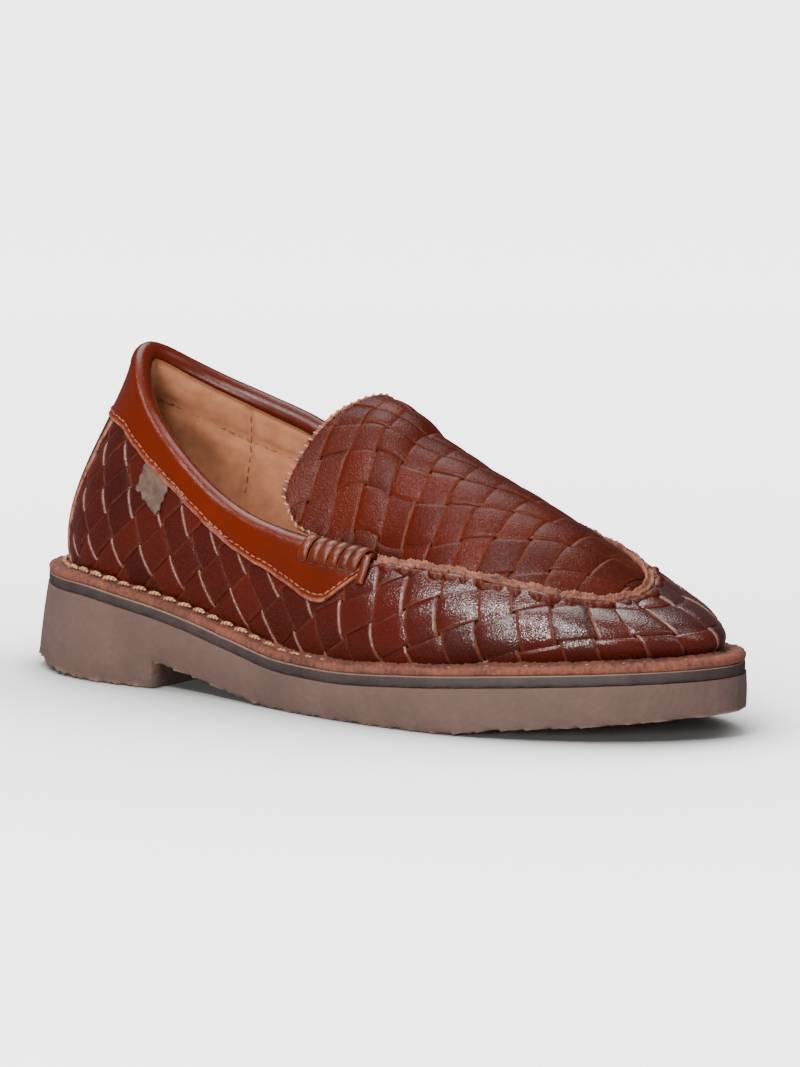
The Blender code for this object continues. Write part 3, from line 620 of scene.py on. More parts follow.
# %% Materials for sole and tab
def rubber_material():
    made, tree, shader = start_material("taupe crumb rubber", Roughness=0.86)
    where = object_place(tree)
    cells = {"Vector": where, "Scale": 520.0}
    crumbs = add_node(tree, "ShaderNodeTexVoronoi", cells, feature="F1").outputs["Distance"]
    scuffs = noise(tree, where, 45.0, 8.0, 0.7)["Fac"]
    base = mix(tree, spread(tree, scuffs, 0.35, 0.68), rgb(0.05, 0.0258, 0.0202), rgb(0.07, 0.0375, 0.029))
    worn = mix(tree, mark(tree, "rim"), base, rgb(0.17, 0.105, 0.075))
    specked = mix(tree, spread(tree, crumbs, 0.0, 0.12), rgb(0.075, 0.045, 0.036), worn)
    tree.links.new(specked, shader["Base Color"])
    emboss(tree, shader, maths(tree, "ADD", crumbs, scuffs), 0.5, 0.3)
    return made


def dark_layer_material():
    made, tree, shader = start_material("dusty dark layer", Roughness=0.72)
    dark, darker = rgb(0.022, 0.012, 0.011), rgb(0.01, 0.005, 0.005)
    cut = use_group(tree, raw_fibre, Pale=dark, Deep=darker, Fibre_Scale=300.0)
    dusty = mix(tree, mark(tree, "rim"), cut["Color"], rgb(0.16, 0.09, 0.06))
    tree.links.new(dusty, shader["Base Color"])
    emboss(tree, shader, cut["Height"], 0.3, 0.2)
    return made


def tab_material():
    made, tree, shader = start_material("grey-brown tab cloth", Roughness=0.92)
    pale, deep = rgb(0.092, 0.052, 0.033), rgb(0.032, 0.016, 0.01)
    cut = use_group(tree, raw_fibre, Pale=pale, Deep=deep, Fibre_Scale=500.0)
    bands = {"Vector": object_place(tree), "Scale": 900.0, "Distortion": 1.0}
    threads = add_node(tree, "ShaderNodeTexWave", bands, bands_direction="Z").outputs["Fac"]
    tree.links.new(cut["Color"], shader["Base Color"])
    emboss(tree, shader, threads, 0.6, 0.15)
    return made


rubber_skin = rubber_material()
dark_skin = dark_layer_material()
tab_skin = tab_material()
print("all finishes:", len(bpy.data.materials))

# %% [markdown]
# The sole is a slab of crepe-like rubber with a heel block moulded in, and a thin dark layer lies on top.
# Extruding the outline would give a flat slab. Slices across the foot let the heel, the arch and the toe
# each have their height, and they lie close together so that both tips stay round.
# The rubber's lower edge is worn and crumbly: its corner is rounded and a ripple eats into it.

# %% How a layer of the sole is lofted
SLICE = 1.3
HEEL_LEAN_X = (-128.0, -80.0, -66.0)
KICK_REACH = 28.0
CRUMBLE = ((2.6, 0.4), (3.9, 0.4), (8.3, 0.4), (17.0, 0.25))


def sides_of(ring):
    """Outer and inner side of a closed outline, both from heel to toe."""
    walk = np.roll(ring, -int(np.argmin(ring[:, 0])), axis=0)
    last = int(np.argmax(walk[:, 0]))
    return walk[:last + 1], np.vstack([walk[last:], walk[:1]])[::-1]


def add_layer(
        batch, ring, top, low, levels, extra=(), flare=0.0, kick=0.0, wear=0.0, swell=0.0, rim=(0.0, 0.0)):
    """Lofts one layer of the sole between two heights; levels are shares of its depth, from the top.

    Flare and kick lean the heel out and back, wear bites into the lower edge, swell rounds the side,
    and rim gives how pale the upper and the lower edge are. Flare, wear and swell fade in narrow slices.
    """
    outer, inner = sides_of(ring)
    start, end = outer[0, 0], outer[-1, 0]
    tips = 0.5 * (start + end) - 0.5 * (end - start) * np.cos(np.linspace(0, math.pi, 60))
    x = np.unique(np.round(np.concatenate([np.arange(start, end, SLICE), tips, extra]), 3))
    y = [np.interp(x, side[:, 0], side[:, 1]) for side in (outer, inner)]
    wide = y[1] - y[0]
    lean = flare * np.interp(x, HEEL_LEAN_X, (1.0, 0.5, 0.0)) * np.clip(wide / 20, 0, 1)
    rounded = swell * np.clip(wide / 12, 0, 1)
    back = kick * np.clip((start + KICK_REACH - x) / KICK_REACH, 0, 1)
    z_top, z_low = top(x), low(x)
    columns = []
    for side, sign in ((0, -1), (1, 1)):
        bite = wear * (0.8 + ripple(x, 11 + side, CRUMBLE)) * np.clip(wide / 8, 0, 1)
        column = []
        for f in levels:
            corner = max(0.0, (f - 0.9) / 0.1) ** 2
            out = lean * f + rounded * math.sin(math.pi * f) - bite * corner
            height = z_top + (z_low - z_top) * f + 0.6 * np.abs(bite) * corner
            column.append(np.column_stack([x - back * f, y[side] + sign * out, height]))
        columns.append(column)
    near, far = columns
    under = [near[-1] + (far[-1] - near[-1]) * share for share in np.linspace(0.08, 0.92, 7)]
    over = [far[0] + (near[0] - far[0]) * share for share in (0.25, 0.5, 0.75)]
    for row in under:
        row[:, 2] = z_low
    edge = [rim[0] if f == 0 else rim[1] * max(0.0, (f - 0.93) / 0.07) for f in levels]
    pale = edge + [0.0] * len(under) + edge[::-1] + [0.0] * len(over)
    add_tube(batch, near + under + far[::-1] + over, rim=np.array(pale)[None])


print("slices along the sole: about", int(np.ptp(outline[:, 0]) / SLICE))

# %% [markdown]
# On the real shoe the rubber and the dark layer are glued, and the joint shows as a fine line.
# Two separate lofts keep that line crisp. The dark layer is a hair narrower, so that the rubber stands proud.

# %% Rubber sole and dark layer
RUBBER_LEVELS = (0, 0.04, 0.2, 0.4, 0.6, 0.8, 0.9, 0.94, 0.97, 1)
LAYER_LEVELS = (0, 0.1, 0.35, 0.65, 0.9, 1)
GLUE_LINE = 0.1
LAYER_SHARE = 0.996


def underside(x):
    return np.where(x <= HEEL_BREAST_X, heel_underside(x), sole_underside(x))


rubber = new_batch()
add_layer(
    rubber, outline, lambda x: sole_top(x) - MIDSOLE - GLUE_LINE, underside, RUBBER_LEVELS,
    extra=(HEEL_BREAST_X, HEEL_BREAST_X + BREAST_SLANT),
    flare=HEEL_FLARE, kick=HEEL_KICK, wear=0.75, swell=0.4, rim=(0.0, 0.8))
make_piece("rubber_sole", rubber, rubber_skin, ("outsole",))

layer = new_batch()
add_layer(
    layer, outline * LAYER_SHARE, sole_top, lambda x: sole_top(x) - MIDSOLE, LAYER_LEVELS,
    wear=0.25, swell=0.25, rim=(0.9, 0.0))
make_piece("dark_layer", layer, dark_skin, ("midsole",))

# %% [markdown]
# The welt is the ledge where the strips' ends are turned out and sewn down to the sole.
# One smooth band would look moulded. On the real shoe each end lies a little higher or lower and reaches
# a little further than its neighbour, so we first draw a seeded height and reach for each end.

# %% Uneven strip ends
STRIP_END = 12.0
END_BLEND = 1.6
MOST_ENDS = 80
end_rng = np.random.default_rng(4)
end_at = np.cumsum(end_rng.uniform(0.75, 1.25, MOST_ENDS)) * STRIP_END
end_high = end_rng.uniform(-0.35, 0.3, MOST_ENDS + 1)
end_far = end_rng.uniform(-0.035, 0.02, MOST_ENDS + 1)


def strip_end(u, values):
    """Value of the strip end at the way round u, eased over from the end before it."""
    k = np.searchsorted(end_at, u)
    before = np.maximum(k - 1, 0)
    near = np.where(k > 0, end_at[before], 0.0)
    share = np.clip((u - near) / END_BLEND, 0, 1)
    eased = share * share * (3 - 2 * share)
    return values[before] * (1 - eased) + values[k] * eased


print("strip ends round the upper:", int(np.searchsorted(end_at, ROUND)) + 1)

# %% [markdown]
# The ledge itself is a closed tube round the shoe. Its section has a flat foot, a thick outer edge and a
# slightly hollow upper face, where the thread will lie. Finer ripples on each row give it a scuffed grit.

# %% Welt
LEDGE = 8.0
SHORT_OF_RIM = 0.945
WELT_GRIT = ((1.4, 0.09), (2.3, 0.13), (4.1, 0.13), (9.0, 0.08))
WELT_SECTION = (
    # share of the way from the wall's foot to the rim, share of the height, roughness
    (-0.6, 0.0, 0.0), (0.5, 0.0, 0.0), (0.98, 0.05, 0.0), (1.02, 0.22, 0.5), (1.03, 0.42, 0.8),
    (1.01, 0.62, 0.8), (0.97, 0.8, 0.9), (0.9, 0.95, 1.0), (0.76, 1.02, 1.0), (0.6, 0.95, 0.8),
    (0.46, 0.95, 0.8), (0.32, 1.05, 1.0), (0.12, 1.2, 1.0), (-0.1, 1.35, 0.5), (-0.6, 1.2, 0.0),
)
welt_u = np.linspace(0, ROUND, 1300, endpoint=False)
welt_foot = wall_curve(welt_u)[:, :2]
over_ledge = welt_foot + outward_level(welt_u) * LEDGE
to_outline = np.linalg.norm(outline[None] - over_ledge[:, None], axis=2)
sole_rim = outline[np.argmin(to_outline, axis=1)]
welt_high = WELT + strip_end(welt_u, end_high)
scuff = ripple(welt_u, 5, ((2.1, 0.12), (4.4, 0.16), (7.9, 0.2)))
welt_reach = SHORT_OF_RIM + strip_end(welt_u, end_far) + 0.035 * scuff
welt_rim = welt_foot + (sole_rim - welt_foot) * welt_reach[:, None]


def welt_row(share, height):
    """Line along the welt at a share of the way from the wall's foot to the rim."""
    flat = welt_foot + (welt_rim - welt_foot) * np.reshape(share, (-1, 1))
    return np.column_stack([flat, sole_top(flat[:, 0]) + GLUE_LINE + height])


welt_rows = []
for seed, (share, tall, rough) in enumerate(WELT_SECTION, 200):
    grit = rough * ripple(welt_u, seed, WELT_GRIT)
    welt_rows.append(welt_row(share + 0.03 * grit, tall * welt_high + grit))
welt = new_batch()
add_tube(welt, welt_rows, loop=True)
make_piece("welt_ledge", welt, welt_skin, ("welt",))

# %% [markdown]
# Sewing shows as short arched lengths of thread whose ends are pulled into the leather.
# A curve with a bevel could run through the holes, but most of it would be hidden under the leather.
# Only the part above it is made: one small capped tube per stitch, a little askew as hand sewing is.

# %% How stitches are laid along a line
UP = np.array((0.0, 0.0, 1.0))


def add_stitches(batch, centres, along, up, length, thick, arch, seed):
    """One capped tube per stitch, arched over the leather and slightly turned by chance."""
    rng = np.random.default_rng(seed)
    share = np.linspace(-0.5, 0.5, 7)
    turn = np.linspace(0, 2 * math.pi, 8, endpoint=False)
    full = np.sqrt(np.clip(1 - (2.06 * share) ** 4, 0.12, 1))
    for centre, run, rise in zip(centres, unit(along), unit(up)):
        run = unit(run - rise * np.dot(run, rise) + np.cross(rise, run) * rng.uniform(-0.16, 0.16))
        aside = np.cross(rise, run)
        grown = rng.uniform(0.85, 1.12)
        spine = centre + np.outer(share * length * grown, run) + np.outer(arch * (1 - 6 * share ** 2), rise)
        ring = np.cos(turn)[:, None] * aside + np.sin(turn)[:, None] * rise
        points = spine[:, None] + ring[None] * (0.5 * thick * grown * full)[:, None, None]
        add_patch(batch, points, ring=True, caps=True, run=(share * length / thick)[:, None],
                  round=turn[None] / (2 * math.pi))


def sample(points, at):
    """Points of a row at fractional places."""
    low = np.clip(np.floor(at).astype(int), 0, len(points) - 2)
    return points[low] + (points[low + 1] - points[low]) * (at - low)[:, None]


def stitch_places(line, pitch, look=1.0):
    """Even places along a row of points, with their centres and the way the row runs there."""
    way = walked(line)
    count = max(2, int(way[-1] / pitch))
    at = np.interp((np.arange(count) + 0.5) / count * way[-1], way, np.arange(len(line)))
    last = len(line) - 1
    along = sample(line, np.clip(at + look, 0, last)) - sample(line, np.clip(at - look, 0, last))
    return at, sample(line, at), along


print("stitches 5 mm apart along the sole's outline:", len(stitch_places(outline, 5.0)[0]))

# %% [markdown]
# One thick, waxed thread runs along the welt. It sits proud toward the heel, and from the ball of the foot
# forward it is pulled so deep that the leather closes over it, so it fades out there.

# %% Welt thread
WELT_STITCH = 6.3
SUNK_X = (-130.0, -35.0, -15.0, 10.0)
SUNK_BY = (-0.35, -0.35, 0.6, 1.2)
welt_line = welt_row(0.42, welt_high + 0.1)
at, centres, along = stitch_places(np.vstack([welt_line, welt_line[:1]]), WELT_STITCH, look=1.5)
centres[:, 2] -= np.interp(centres[:, 0], SUNK_X, SUNK_BY)
thread = new_batch()
add_stitches(thread, centres, along, np.tile(UP, (len(at), 1)), length=5.6, thick=1.5, arch=0.3, seed=6)
make_piece("welt_thread", thread, waxed_thread)

# %% [markdown]
# The upper is a real basket weave. One family of strips leans forward and up, the other rises toward
# the heel. A bump pattern would be cheaper, but the outline and the shadows of a weave need real ribbons.
# Both are drawn in the wall's own measure: the distance from the toe and the distance up from the foot.

# %% Where the strips of the wall cross
PITCH = 12.0
LEAN_AT_HEEL = 0.8
LEAN_FULL_AT = 0.9
RISE_AT_TOE = 0.07
RISE_GAIN = 0.5
RISE_LATE = 1.5
WIDEN_AT_HEEL = 0.36

ring_walk = walked(wall_point(fine_u, 0.35))
toe_walk = float(np.interp(PLACE["toe"], fine_u, ring_walk))
SIDE = 0.5 * ring_walk[-1]


def way_round(s):
    """Signed distance from the toe to the way round u; both sides are evened to one length."""
    share = np.asarray(s, float) / SIDE
    far = np.where(share < 0, toe_walk * (1 + share), toe_walk + (ring_walk[-1] - toe_walk) * share)
    return np.interp(np.clip(far, 0, ring_walk[-1]), ring_walk, fine_u)


def wall_crossing(a, b):
    """Distance from the toe and height where line a of the leaning strips meets line b of the rising ones."""
    s = np.abs(a) * PITCH
    for _ in range(80):
        back = s / SIDE
        climb = s * (RISE_AT_TOE + RISE_GAIN * back / 2 + RISE_LATE * back ** 2 / 3)
        t = b * PITCH * (1 + WIDEN_AT_HEEL * back) - climb
        s = 0.5 * (s + np.abs(a) * PITCH + t * LEAN_AT_HEEL * np.clip(back / LEAN_FULL_AT, 0, 1))
    return np.where(a < 0, -s, s), t


def hemmed(value, low, high):
    """Holds a value inside its border; what lies past it is pressed thin, so no two points fall together."""
    inside = np.clip(value, low, high)
    return inside + 0.02 * (value - inside)


def wall_place(s, t):
    """Point, outward direction and a flag for being on the wall, for weave coordinates."""
    u = way_round(hemmed(s, 0.3 - SIDE, SIDE - 0.3))
    tall = girth(u)
    on = (t > -2.5) & (t < tall + 1.5) & (np.abs(s) < SIDE + 1.5)
    v = hemmed(t, -1.5, tall) / tall
    return wall_point(u, v), wall_normal(u, np.clip(v, 0, 1)), on


print("strips along one side: %.0f" % (SIDE / PITCH))

# %% [markdown]
# Each strip is a ribbon that climbs over one crossing and dives under the next.
# Its section has a softly rounded face, square cut edges and a flat back, and each float has its own shade.
# Strips run past the wall's borders on paper, so only the runs that lie on the leather are kept.

# %% One woven strip
ACROSS = np.array([0.0, 0.02, 0.12, 0.32, 0.5, 0.68, 0.88, 0.98, 1.0, 0.8, 0.5, 0.2])
TOP_POINTS = 9
SHORTEST_RUN = 4


def ribbon_section(thick):
    """Height of each point of the ribbon's section."""
    share = np.abs(2 * ACROSS[:TOP_POINTS] - 1)
    face = 0.5 * thick * (1 - 0.35 * share ** 3)
    face[[0, -1]] = -0.35 * thick
    return np.concatenate([face, np.full(len(ACROSS) - TOP_POINTS, -0.5 * thick)])


def add_strip(batch, index, leaning, crossing, to_place, span, style, rng):
    """One strip of a weave; crossing turns line numbers into a place on the leather."""
    wide = style["wide"] * rng.uniform(0.95, 1.03)
    shift = rng.uniform(-0.02, 0.02)
    along = np.arange(span[0], span[1], 0.1)
    run, cross = np.meshgrid(along, index + 0.5 + shift + (ACROSS - 0.5) * wide, indexing="ij")
    flat = crossing(cross, run) if leaning else crossing(run, cross)
    points, out, on = to_place(flat[0].ravel(), flat[1].ravel())
    wave = np.cos(math.pi * (along - 0.5 + index)) * (1 if leaning else -1)
    height = style["lift"] + style["wave"] * np.sign(wave) * np.abs(wave) ** 0.45
    lift = height[:, None] + ribbon_section(style["thick"])[None] + rng.uniform(-0.08, 0.08)
    points = points.reshape(*run.shape, 3) + out.reshape(*run.shape, 3) * lift[..., None]
    rim = np.zeros(len(ACROSS))
    rim[[0, TOP_POINTS - 1]] = style["rim"][0 if leaning else 1]
    rim[[1, TOP_POINTS - 2]] = 0.3 * rim[0]
    floats = np.floor(along - span[0] + 0.001).astype(int)
    tint = np.clip(rng.uniform(0.15, 0.85) + rng.uniform(-0.3, 0.3, floats[-1] + 1)[floats], 0, 1)
    # Painted shade: how far the strip dives under its neighbour, which darkens it there.
    dip = 0.8 * np.clip(-wave, 0, 1)
    kept = on.reshape(run.shape).any(axis=1)
    borders = np.flatnonzero(np.diff(np.concatenate([[False], kept, [False]]).astype(int)))
    for first, end in borders.reshape(-1, 2):
        if end - first >= SHORTEST_RUN:
            add_patch(batch, points[first:end], ring=True, caps=True, rim=rim[None],
                      tint=tint[first:end, None], dip=dip[first:end, None])


print("points in a strip's section:", len(ribbon_section(1.1)))

# %% [markdown]
# The wall is now woven strip by strip. The leaning strips show their raw edges, the rising ones hardly do,
# which is what gives the real weave its slanting light lines.

# %% Woven wall
WALL_STYLE = {"wide": 0.955, "lift": 0.3, "wave": 0.55, "thick": 1.1, "rim": (1.0, 0.35)}
wall_rng = np.random.default_rng(8)
weave = new_batch()
for index in range(-30, 30):
    add_strip(weave, index, True, wall_crossing, wall_place, (-2.0, 24.0), WALL_STYLE, wall_rng)
for index in range(-2, 24):
    add_strip(weave, index, False, wall_crossing, wall_place, (-31.0, 31.0), WALL_STYLE, wall_rng)
make_piece("woven_upper", weave, strip_skin, ("upper",))

# %% [markdown]
# Behind the weave lies a thin dark backing, so no light comes through between the strips.
# It is the wall's face twice, moved inward by two amounts. A solidify modifier would do much the same,
# but with the face at hand the lining can be made from it too.

# %% Dark backing
BACKING_FRONT = -0.45
BACKING_BACK = -1.3
around = np.linspace(0, ROUND, 420, endpoint=False)
u_grid, v_grid = np.meshgrid(around, np.linspace(0, 1, 26), indexing="ij")
face = wall_point(u_grid.ravel(), v_grid.ravel())
face_out = wall_normal(u_grid.ravel(), v_grid.ravel())


def shifted(lift):
    """The wall's face moved along its outward direction."""
    return (face + face_out * np.broadcast_to(lift, u_grid.shape).reshape(-1, 1)).reshape(*u_grid.shape, 3)


def two_faced(front, back):
    """Section of a thin ply: its front face and then its back face, the other way."""
    return np.concatenate([front, back[:, ::-1]], axis=1)


backing = new_batch()
add_patch(backing, two_faced(shifted(BACKING_FRONT), shifted(BACKING_BACK)), ring=True, loop=True)
make_piece("dark_backing", backing, suede_skin)

# %% [markdown]
# The lining inside is a soft tan leather, quilted with one row of sewing and one upright seam.
# A cloth simulation could puff it up. A formula that swells between the sewn lines is steadier and quick,
# and a ripple puckers the leather near the row.

# %% Quilted lining
QUILT_DOWN = 16.0
ROW_DIMPLE = 1.7
SEAM_AT = PLACE["quarter inner back"] + 1.0
SEAM_DIMPLE = 1.5
PUFF = 1.5
LINING_FRONT = -2.5
LINING_BACK = -1.5
down_grid = (1 - v_grid) * girth(u_grid.ravel()).reshape(u_grid.shape)
by_row = 1 - np.exp(-((down_grid - QUILT_DOWN) / ROW_DIMPLE) ** 2)
by_seam = 1 - np.exp(-((u_grid - SEAM_AT) / SEAM_DIMPLE) ** 2)
near_row = np.exp(-((down_grid - QUILT_DOWN - 1) / 9) ** 2)
pucker = ripple(u_grid, 21, ((9.0, 0.12), (14.0, 0.16), (31.0, 0.18))) * near_row
puffed = PUFF * np.minimum(by_row, by_seam) + PUFF * pucker
lining_lift = LINING_FRONT - np.clip((down_grid - 1.5) / 3, 0, 1) * puffed
lining = new_batch()
add_patch(lining, two_faced(shifted(lining_lift), shifted(LINING_BACK)), ring=True, loop=True)
make_piece("quilted_lining", lining, lining_skin)

# %% [markdown]
# The footbed closes the inside at the bottom. It is a layer like those of the sole, cut to the wall's foot.
# The lining's sewing is fine and tan, and runs along the quilted row and down the upright seam.

# %% Insole and lining stitches
INSOLE = 3.5
LINING_FACE = -2.95
LINING_STITCH = 3.1
foot_u = np.linspace(0, ROUND, 400, endpoint=False)
bed_outline = wall_curve(foot_u)[:, :2] - outward_level(foot_u) * 3.0
bed = new_batch()
add_layer(bed, bed_outline, lambda x: sole_top(x) + GAP + INSOLE, lambda x: sole_top(x) + GAP, (0, 0.3, 1))
make_piece("insole_bed", bed, lining_skin, ("insole",))

quilting = new_batch()
row_u = np.linspace(PLACE["quarter outer"], PLACE["quarter inner"] - ROUND, 300)
seam_down = np.linspace(6.0, 34.0, 60)
lining_lines = ((row_u, np.full(300, QUILT_DOWN), 31), (np.full(60, SEAM_AT), seam_down, 32))
for u, down, seed in lining_lines:
    at, centres, along = stitch_places(beside_wall(u, LINING_FACE, down), LINING_STITCH)
    inward = -sample(wall_normal(u, 0.8), at)
    add_stitches(quilting, centres, along, inward, length=2.4, thick=0.4, arch=0.1, seed=seed)
make_piece("quilting_thread", quilting, lining_thread)

# %% [markdown]
# The collar is one wide band of glove leather folded over the top edge.
# Its fold makes a soft roll, and its outer leg ends in a cut, pale edge with a row of sewing just above.
# It is deepest at the back of the heel and dips again toward the front. A bevelled curve would have one
# width all round, so the band is a tube whose outer leg follows its own depth curve.

# %% Collar
COLLAR_DEPTH = (
    # share of the way along the collar from the outer front end, depth of the outer leg
    (0.0, 5.0), (0.045, 15.5), (0.13, 11.0), (0.28, 8.5), (0.42, 13.5),
    (0.5, 23.0), (0.58, 15.0), (0.75, 11.0), (0.955, 15.5), (1.0, 5.0),
)
CUT_EDGE = (
    # lift off the wall, distance past the leg's depth, rawness
    (1.3, 0.0, 0.5), (1.4, 0.35, 1.0), (2.4, 0.3, 1.0), (2.65, -0.2, 0.8), (2.5, -1.0, 0.1),
)
COLLAR_FOLD = (
    # lift off the wall, distance down from its top edge
    (2.35, 2.0), (2.5, 0.3), (2.2, -1.5), (1.3, -2.9), (0.0, -3.7), (-1.3, -3.6),
    (-2.6, -3.0), (-3.7, -2.0), (-4.3, -0.8), (-4.5, 0.2), (-4.4, 1.0),
)
COLLAR_INSIDE = (
    # lift off the wall, distance down, rawness
    (-3.5, 1.4, 0.8), (-3.2, 0.4, 0.0), (-1.5, -1.9, 0.0), (1.2, -0.8, 0.0),
)
collar_start = PLACE["throat outer"]
collar_end = PLACE["throat inner"] - ROUND
depth_curve = steady_curve(COLLAR_DEPTH)


def collar_depth(u):
    """Depth of the outer leg; u runs from the outer front end down through zero at the heel."""
    return depth_curve((collar_start - np.asarray(u, float)) / (collar_start - collar_end))


collar_u = np.linspace(collar_start, collar_end, 520)
depth = collar_depth(collar_u) + ripple(collar_u, 41, ((11.0, 0.12), (5.0, 0.06)))
slack = ripple(collar_u, 42, ((19.0, 0.12), (33.0, 0.16), (8.0, 0.05)))
collar_rows = [(beside_wall(collar_u, lift, depth + past), raw) for lift, past, raw in CUT_EDGE]
for share in (0.82, 0.68, 0.54, 0.4, 0.28):
    lift = 2.35 + slack * math.sin(math.pi * share)
    collar_rows.append((beside_wall(collar_u, lift, share * depth + 0.4), 0.0))
for lift, down in COLLAR_FOLD:
    collar_rows.append((beside_wall(collar_u, lift + 0.4 * slack, down), 0.0))
collar_rows += [(beside_wall(collar_u, lift, down), raw) for lift, down, raw in COLLAR_INSIDE]
collar = new_batch()
add_tube(collar, [points for points, raw in collar_rows], dip=0.0,
         rim=np.array([raw for points, raw in collar_rows])[None],
         tint=(0.5 + 0.3 * np.sin(collar_u / 37.0))[:, None])
make_piece("folded_collar", collar, collar_skin, ("collar",))

# %% [markdown]
# A row of small stitches holds the collar's outer leg, just above its cut edge.

# %% Collar sewing
SEWN_ABOVE = 1.9
sewn_down = depth - SEWN_ABOVE
at, centres, along = stitch_places(beside_wall(collar_u, 2.5, sewn_down), 2.6)
outward = wall_normal(collar_u, np.clip(1 - sewn_down / girth(collar_u), 0, 1))
sewing = new_batch()
add_stitches(sewing, centres, along, sample(outward, at), length=2.1, thick=0.55, arch=0.1, seed=51)
make_piece("collar_sewing", sewing, pale_thread)

# %% [markdown]
# The plug is the woven apron over the foot, running back into the tongue.
# Its edges follow the wall's top from the toe to the throat, then rise free as the tongue.
# Each section is an arch between the two edges, and a second table says where the tongue's free edge is cut.
# A sculpted sheet would look much the same, but arches keep the plug's edges exactly on the seam.

# %% The plug's sections
PLUG_INSET = 2.6
TONGUE_INSET = 6.8
TONGUE_ROWS = (
    # x, outer y, outer z, inner y, inner z, crown
    (10.0, -22.8, 49.2, 22.8, 63.3, 29.8),
    (4.0, -23.0, 50.4, 23.2, 66.6, 30.3),
    (-8.0, -24.0, 53.5, 25.6, 74.0, 26.6),
    (-23.0, -25.5, 59.5, 28.0, 81.0, 20.0),
)
TONGUE_EDGE = (
    # share across from the outer side, x of the free edge
    (0.0, -14.0), (0.03, -19.0), (0.067, -21.8), (0.12, -22.0), (0.26, -19.6), (0.41, -16.2), (0.58, -11.7),
    (0.74, -8.0), (0.9, -8.0), (0.96, -7.0), (1.0, -3.0),
)
PLUG_CROWN = ((0.0, 0.0), (0.15, 2.5), (0.35, 8.0), (0.6, 14.0), (0.8, 20.0), (1.0, 27.2))
INNER_FULLNESS = ((0.0, 2.0), (65.0, 2.0), (95.0, 3.4), (140.0, 3.4))


def inset_top(u, inset):
    """Top edge of the wall moved level toward the inside."""
    top = wall_curve(u)[:, 2:5].copy()
    along = wall_curve(u + 0.5)[:, 2:4] - wall_curve(u - 0.5)[:, 2:4]
    out = unit(np.stack([along[:, 1], -along[:, 0]], axis=1))
    top[:, :2] -= out * np.reshape(inset, (-1, 1))
    return top


def sewn_edge(throat):
    return inset_top(PLACE["toe"] + (PLACE[throat] - PLACE["toe"]) * sewn_share, sewn_inset)


sewn_share = 1 - np.cos(np.linspace(0, math.pi / 2, 11))
sewn_inset = np.interp(sewn_share, (0.0, 0.72, 1.0), (PLUG_INSET, PLUG_INSET, TONGUE_INSET))
sewn_crown = steady_curve(PLUG_CROWN)(sewn_share)
sewn_rows = np.column_stack([sewn_edge("throat outer"), sewn_edge("throat inner"), sewn_crown])
free_rows = [(x, y, z, x, inner_y, inner_z, crown) for x, y, z, inner_y, inner_z, crown in TONGUE_ROWS]
plug_rows = np.vstack([sewn_rows, free_rows])
chord = np.maximum(np.linalg.norm(plug_rows[:, 3:6] - plug_rows[:, 0:3], axis=1), 1e-6)
middle = 0.5 * (plug_rows[:, 0:3] + plug_rows[:, 3:6])
middle[:, 2] += plug_rows[:, 6]
back_at = walked(middle)
plug_curves = [steady_curve(list(zip(back_at, column))) for column in plug_rows.T]
plug_width = steady_curve(list(zip(back_at, chord + 8 * plug_rows[:, 6] ** 2 / (3 * chord))))
inner_fullness = steady_curve(INNER_FULLNESS)
tongue_edge = steady_curve(TONGUE_EDGE)
LAST_SEWN = len(sewn_rows) - 1
TONGUE_FROM = back_at[LAST_SEWN]
PLUG_LONG = back_at[-1]
print("plug: %.0f mm long, %.0f mm wide at the throat" % (PLUG_LONG, plug_width(TONGUE_FROM)))

# %% [markdown]
# Any point of the plug is now found from a distance back and a distance aside, and its outward direction
# from two short steps on the surface. Past the throat the tongue is shortened to its free edge.
# A mesh could be asked for its nearest face instead, but the strips need this at many thousand points.

# %% The plug as a function
TIP_BARE = 1.6


def tongue_reach(w):
    """Share of the tongue's full length that is left at a share across."""
    at_edge = np.interp(-tongue_edge(w), -plug_rows[LAST_SEWN:, 0], back_at[LAST_SEWN:])
    return (at_edge - TONGUE_FROM) / (PLUG_LONG - TONGUE_FROM)


def plug_point(back, aside):
    """Plug's outer face at a distance back from its tip and aside from its middle line."""
    w = np.clip(aside / np.maximum(plug_width(back), 1e-6) + 0.5, -0.05, 1.05)[:, None]
    free = np.maximum(back - TONGUE_FROM, 0) * tongue_reach(w[:, 0])
    back = np.minimum(back, TONGUE_FROM) + free
    row = np.stack([curve(back) for curve in plug_curves], axis=1)
    bend = np.where(w > 0.5, inner_fullness(back)[:, None], 2.0)
    arch = 1 - np.abs(2 * w - 1) ** bend
    points = row[:, 0:3] + (row[:, 3:6] - row[:, 0:3]) * w
    points[:, 2:3] += row[:, 6:7] * arch
    return points


def plug_place(back, aside):
    """Point, outward direction and a flag for being on the plug."""
    half = 0.5 * plug_width(np.clip(back, 0, PLUG_LONG))
    on = (back > TIP_BARE) & (back < PLUG_LONG + 0.5) & (np.abs(aside) < half + 1.0)
    b = hemmed(back, 0.3, PLUG_LONG - 0.2)
    half = 0.5 * plug_width(b)
    a = hemmed(aside, -half, half)
    lengthwise = plug_point(np.minimum(b + 0.4, PLUG_LONG), a) - plug_point(np.maximum(b - 0.4, 0.01), a)
    sideways = plug_point(b, np.minimum(a + 0.4, half)) - plug_point(b, np.maximum(a - 0.4, -half))
    out = unit(np.cross(sideways, lengthwise))
    return plug_point(b, a), out * np.where(out[:, 2:3] < 0, -1, 1), on


print("height of the plug at the throat: %.0f mm" % plug_point(np.array([TONGUE_FROM]), np.zeros(1))[0, 2])

# %% [markdown]
# The plug has its own two families of strips: one runs straight across the foot, the other slants back.
# A strip straight across lies in an upright plane, so it is found by halving the plug's length until
# it meets that plane. Bending a flat woven sheet over the foot would shear the strips instead.

